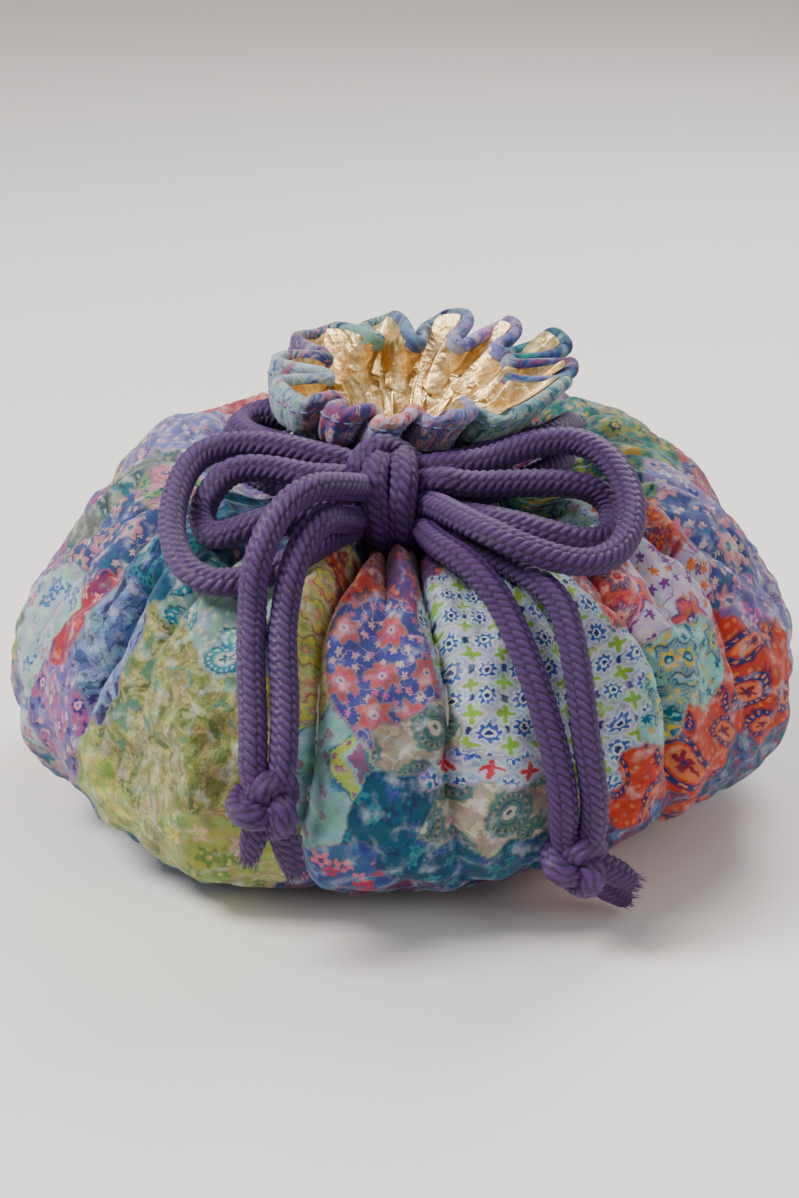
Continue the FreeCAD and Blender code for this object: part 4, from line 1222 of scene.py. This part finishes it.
def build_cords(purple):
    """Every length of cord, by name, with the line each follows."""
    made = {}
    for name, route in ROUTES.items():
        line = route_line(route, 1 / RINGS_PER_MM)
        taper = None
        if "tip" in name:
            taper = ([0, 0.7, 1], [1, 0.96, 0.72])
        elif "bow_wrap" in name:
            taper = ([0, 0.5, 1], [1.0, 1.04, 1.0])
        made[name] = (braided("cord_" + name, line, taper=taper), line)
        made[name][0].data.materials.append(purple)
    turn = np.linspace(0.35, math.pi - 0.35, 60)
    for side, sign in SIDE_SIGN.items():
        ring = np.stack([sign * CASING_RADIUS * np.sin(turn), CASING_RADIUS * np.cos(turn),
                         0 * turn + EXIT_HEIGHT[side]], 1)
        name = side + "_casing_cord"
        line = even_spacing(ring, 0.5)
        made[name] = (braided("cord_" + name, line), line)
        made[name][0].data.materials.append(purple)
    return made


def build_knots(purple):
    """The knots at the tail ends and the frayed cut ends below them."""
    knots = {}
    for side, centre, size, turn, tilt, aims in (
            ("left", (-30.2, -103.6, 38), 1.95, 0.5, 1.2, ((-0.3, 0.1, -1), (0.4, 0.0, -1))),
            ("right", (39.8, -98, 21), 1.75, 2.4, 1.35, ((1, 0.5, -0.8), (0.8, 0.7, -0.5)))):
        line = even_spacing(knot_line(centre, size, turn, tilt, 0.95), 1 / RINGS_PER_MM)
        parts = [braided(side + "_main", line, KNOT_CORD_RADIUS, closed=True)]
        for number, aim in enumerate(aims, 1):
            cut = ROUTES["%s_tip_%d" % (side, number)][-1]
            name = "%s_fray_%d" % (side, number)
            parts.append(frayed_end(name, cut, aim, 2.0, 4.5, 81 + number))
        knots[side] = join(side + "_knot_visual", parts)
        knots[side].data.materials.append(purple)
    return knots


def build_bow_knot(made, purple):
    """The strands wrapped round the bow's middle, and the cord hidden inside them."""
    middle = ((-10, -42, 91), (-6, -43, 90.5), (0, -43, 89.5), (5, -42, 89))
    core = braided("bow_core", route_line(middle, 1 / RINGS_PER_MM), 5.2)
    wraps = [made["bow_wrap_" + place][0] for place in ("left", "right", "behind")]
    knot = join("bow_knot_visual", wraps + [core])
    knot.data.materials.append(purple)
    return knot


# ------------------------------------------------------------------ stage, light and camera
def area_light(name, place, aim, size, power, colour):
    data = bpy.data.lights.new(name, "AREA")
    data.shape = "DISK"
    data.size = size
    data.energy = power
    data.color = colour
    lamp = add_object(name, data)
    lamp.location = place
    lamp.rotation_euler = (Vector(aim) - Vector(place)).to_track_quat("-Z", "Y").to_euler()
    return lamp


def build_stage():
    """A pale floor, just under the base, in soft studio light."""
    size = 9.0
    corners = [(-size, -size, 0), (size, -size, 0), (size, size, 0), (-size, size, 0)]
    mesh = bpy.data.meshes.new("floor")
    mesh.from_pydata(corners, [], [(0, 1, 2, 3)])
    floor = add_object("floor", mesh)
    floor.data.materials.append(plain_material("pale_floor", (236, 232, 228), 0.55))
    floor.location.z = -0.0003
    world = bpy.data.worlds.new("studio")
    world.use_nodes = True
    world.node_tree.nodes["Background"].inputs[0].default_value = (0.95, 0.91, 0.90, 1)
    world.node_tree.nodes["Background"].inputs[1].default_value = 0.50
    bpy.context.scene.world = world
    area_light("window", (-0.65, -0.15, 0.85), (0, 0, 0.05), 0.45, 17, (1, 0.98, 0.95))
    area_light("fill", (0.7, -0.8, 0.6), (0, 0, 0.05), 0.6, 3.5, (0.96, 0.98, 1))
    area_light("back", (0.35, 0.7, 0.85), (0, 0, 0.08), 0.5, 11, (1, 0.98, 0.96))


def build_camera():
    """The photograph's point of view: close, level with the front and looking down 20 degrees."""
    data = bpy.data.cameras.new("camera")
    data.lens = 84.14
    data.sensor_width = 36
    data.dof.use_dof = False
    camera = add_object("camera", data)
    camera.location = (-0.0005, -0.6747, 0.2946)
    camera.rotation_euler = (math.radians(70), 0, 0)
    bpy.context.scene.camera = camera


# ------------------------------------------------------------------ putting it on the frame
def stand_in(thing, slot, *nodes):
    """Hides the CAD pieces that a piece stands for."""
    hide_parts(*nodes)


def place_cloth(velvet, gold, filler, thread):
    settle_cloth()
    panel, lining, middle, outside, along = build_cloth(velvet, gold, filler)
    base = build_base(velvet, gold, filler)
    places = [(panel, "printed_velvet", "side_panel"), (lining, "gold_lining", "side_lining"),
              (middle, "interlining", "side_interlining"), (base[0], "printed_velvet", "base_panel"),
              (base[1], "interlining", "base_interlining"), (base[2], "gold_lining", "base_lining")]
    for node, thing in build_stitching(outside, along, thread).items():
        places.append((thing, "sewing_thread", node))
    for thing, slot, node in places:
        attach(thing, "bag")
        stand_in(thing, slot, node)


def place_tails(side, made, knot):
    """The two hanging ends at one side, with their knot and tips."""
    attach(knot, side + "_tail")
    stand_in(knot, "purple_cord", side + "_end_knot")
    for number in (1, 2):
        tip = made["%s_tip_%d" % (side, number)][0]
        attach(tip, side + "_tail")
        stand_in(tip, "purple_cord", "%s_cord_tip_%d" % (side, number))
        name = "%s_tail_%d" % (side, number)
        thing, line = made[name]
        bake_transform(thing)
        stand_in(thing, "purple_cord", "%s_tail_top_%d" % (side, number), name)


def place_cords(purple):
    made = build_cords(purple)
    knots = build_knots(purple)
    bow = build_bow_knot(made, purple)
    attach(bow, "bag")
    stand_in(bow, "purple_cord", "bow_knot")
    for side, sign in SIDE_SIGN.items():
        casing = made[side + "_casing_cord"][0]
        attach(casing, "bag")
        stand_in(casing, "purple_cord", side + "_cord_in_casing")
        for number in (1, 2):
            name = "%s_lead_%d" % (side, number)
            thing, line = made[name]
            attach(thing, "bag")
            stand_in(thing, "purple_cord", name)
        for place in ("outer", "inner"):
            name = "%s_loop_%s" % (side, place)
            thing, line = made[name]
            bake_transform(thing)
            stand_in(thing, "purple_cord", name)
        place_tails(side, made, knots[side])


def main():
    velvet = velvet_material()
    gold = gold_material()
    purple = cord_material()
    filler = plain_material("interlining", (226, 222, 214), 0.95, 900.0, 0.0002)
    thread = plain_material("sewing_thread", (92, 106, 150), 0.6, 1800.0, 0.0001)
    place_cloth(velvet, gold, filler, thread)
    place_cords(purple)
    build_stage()
    build_camera()


main()
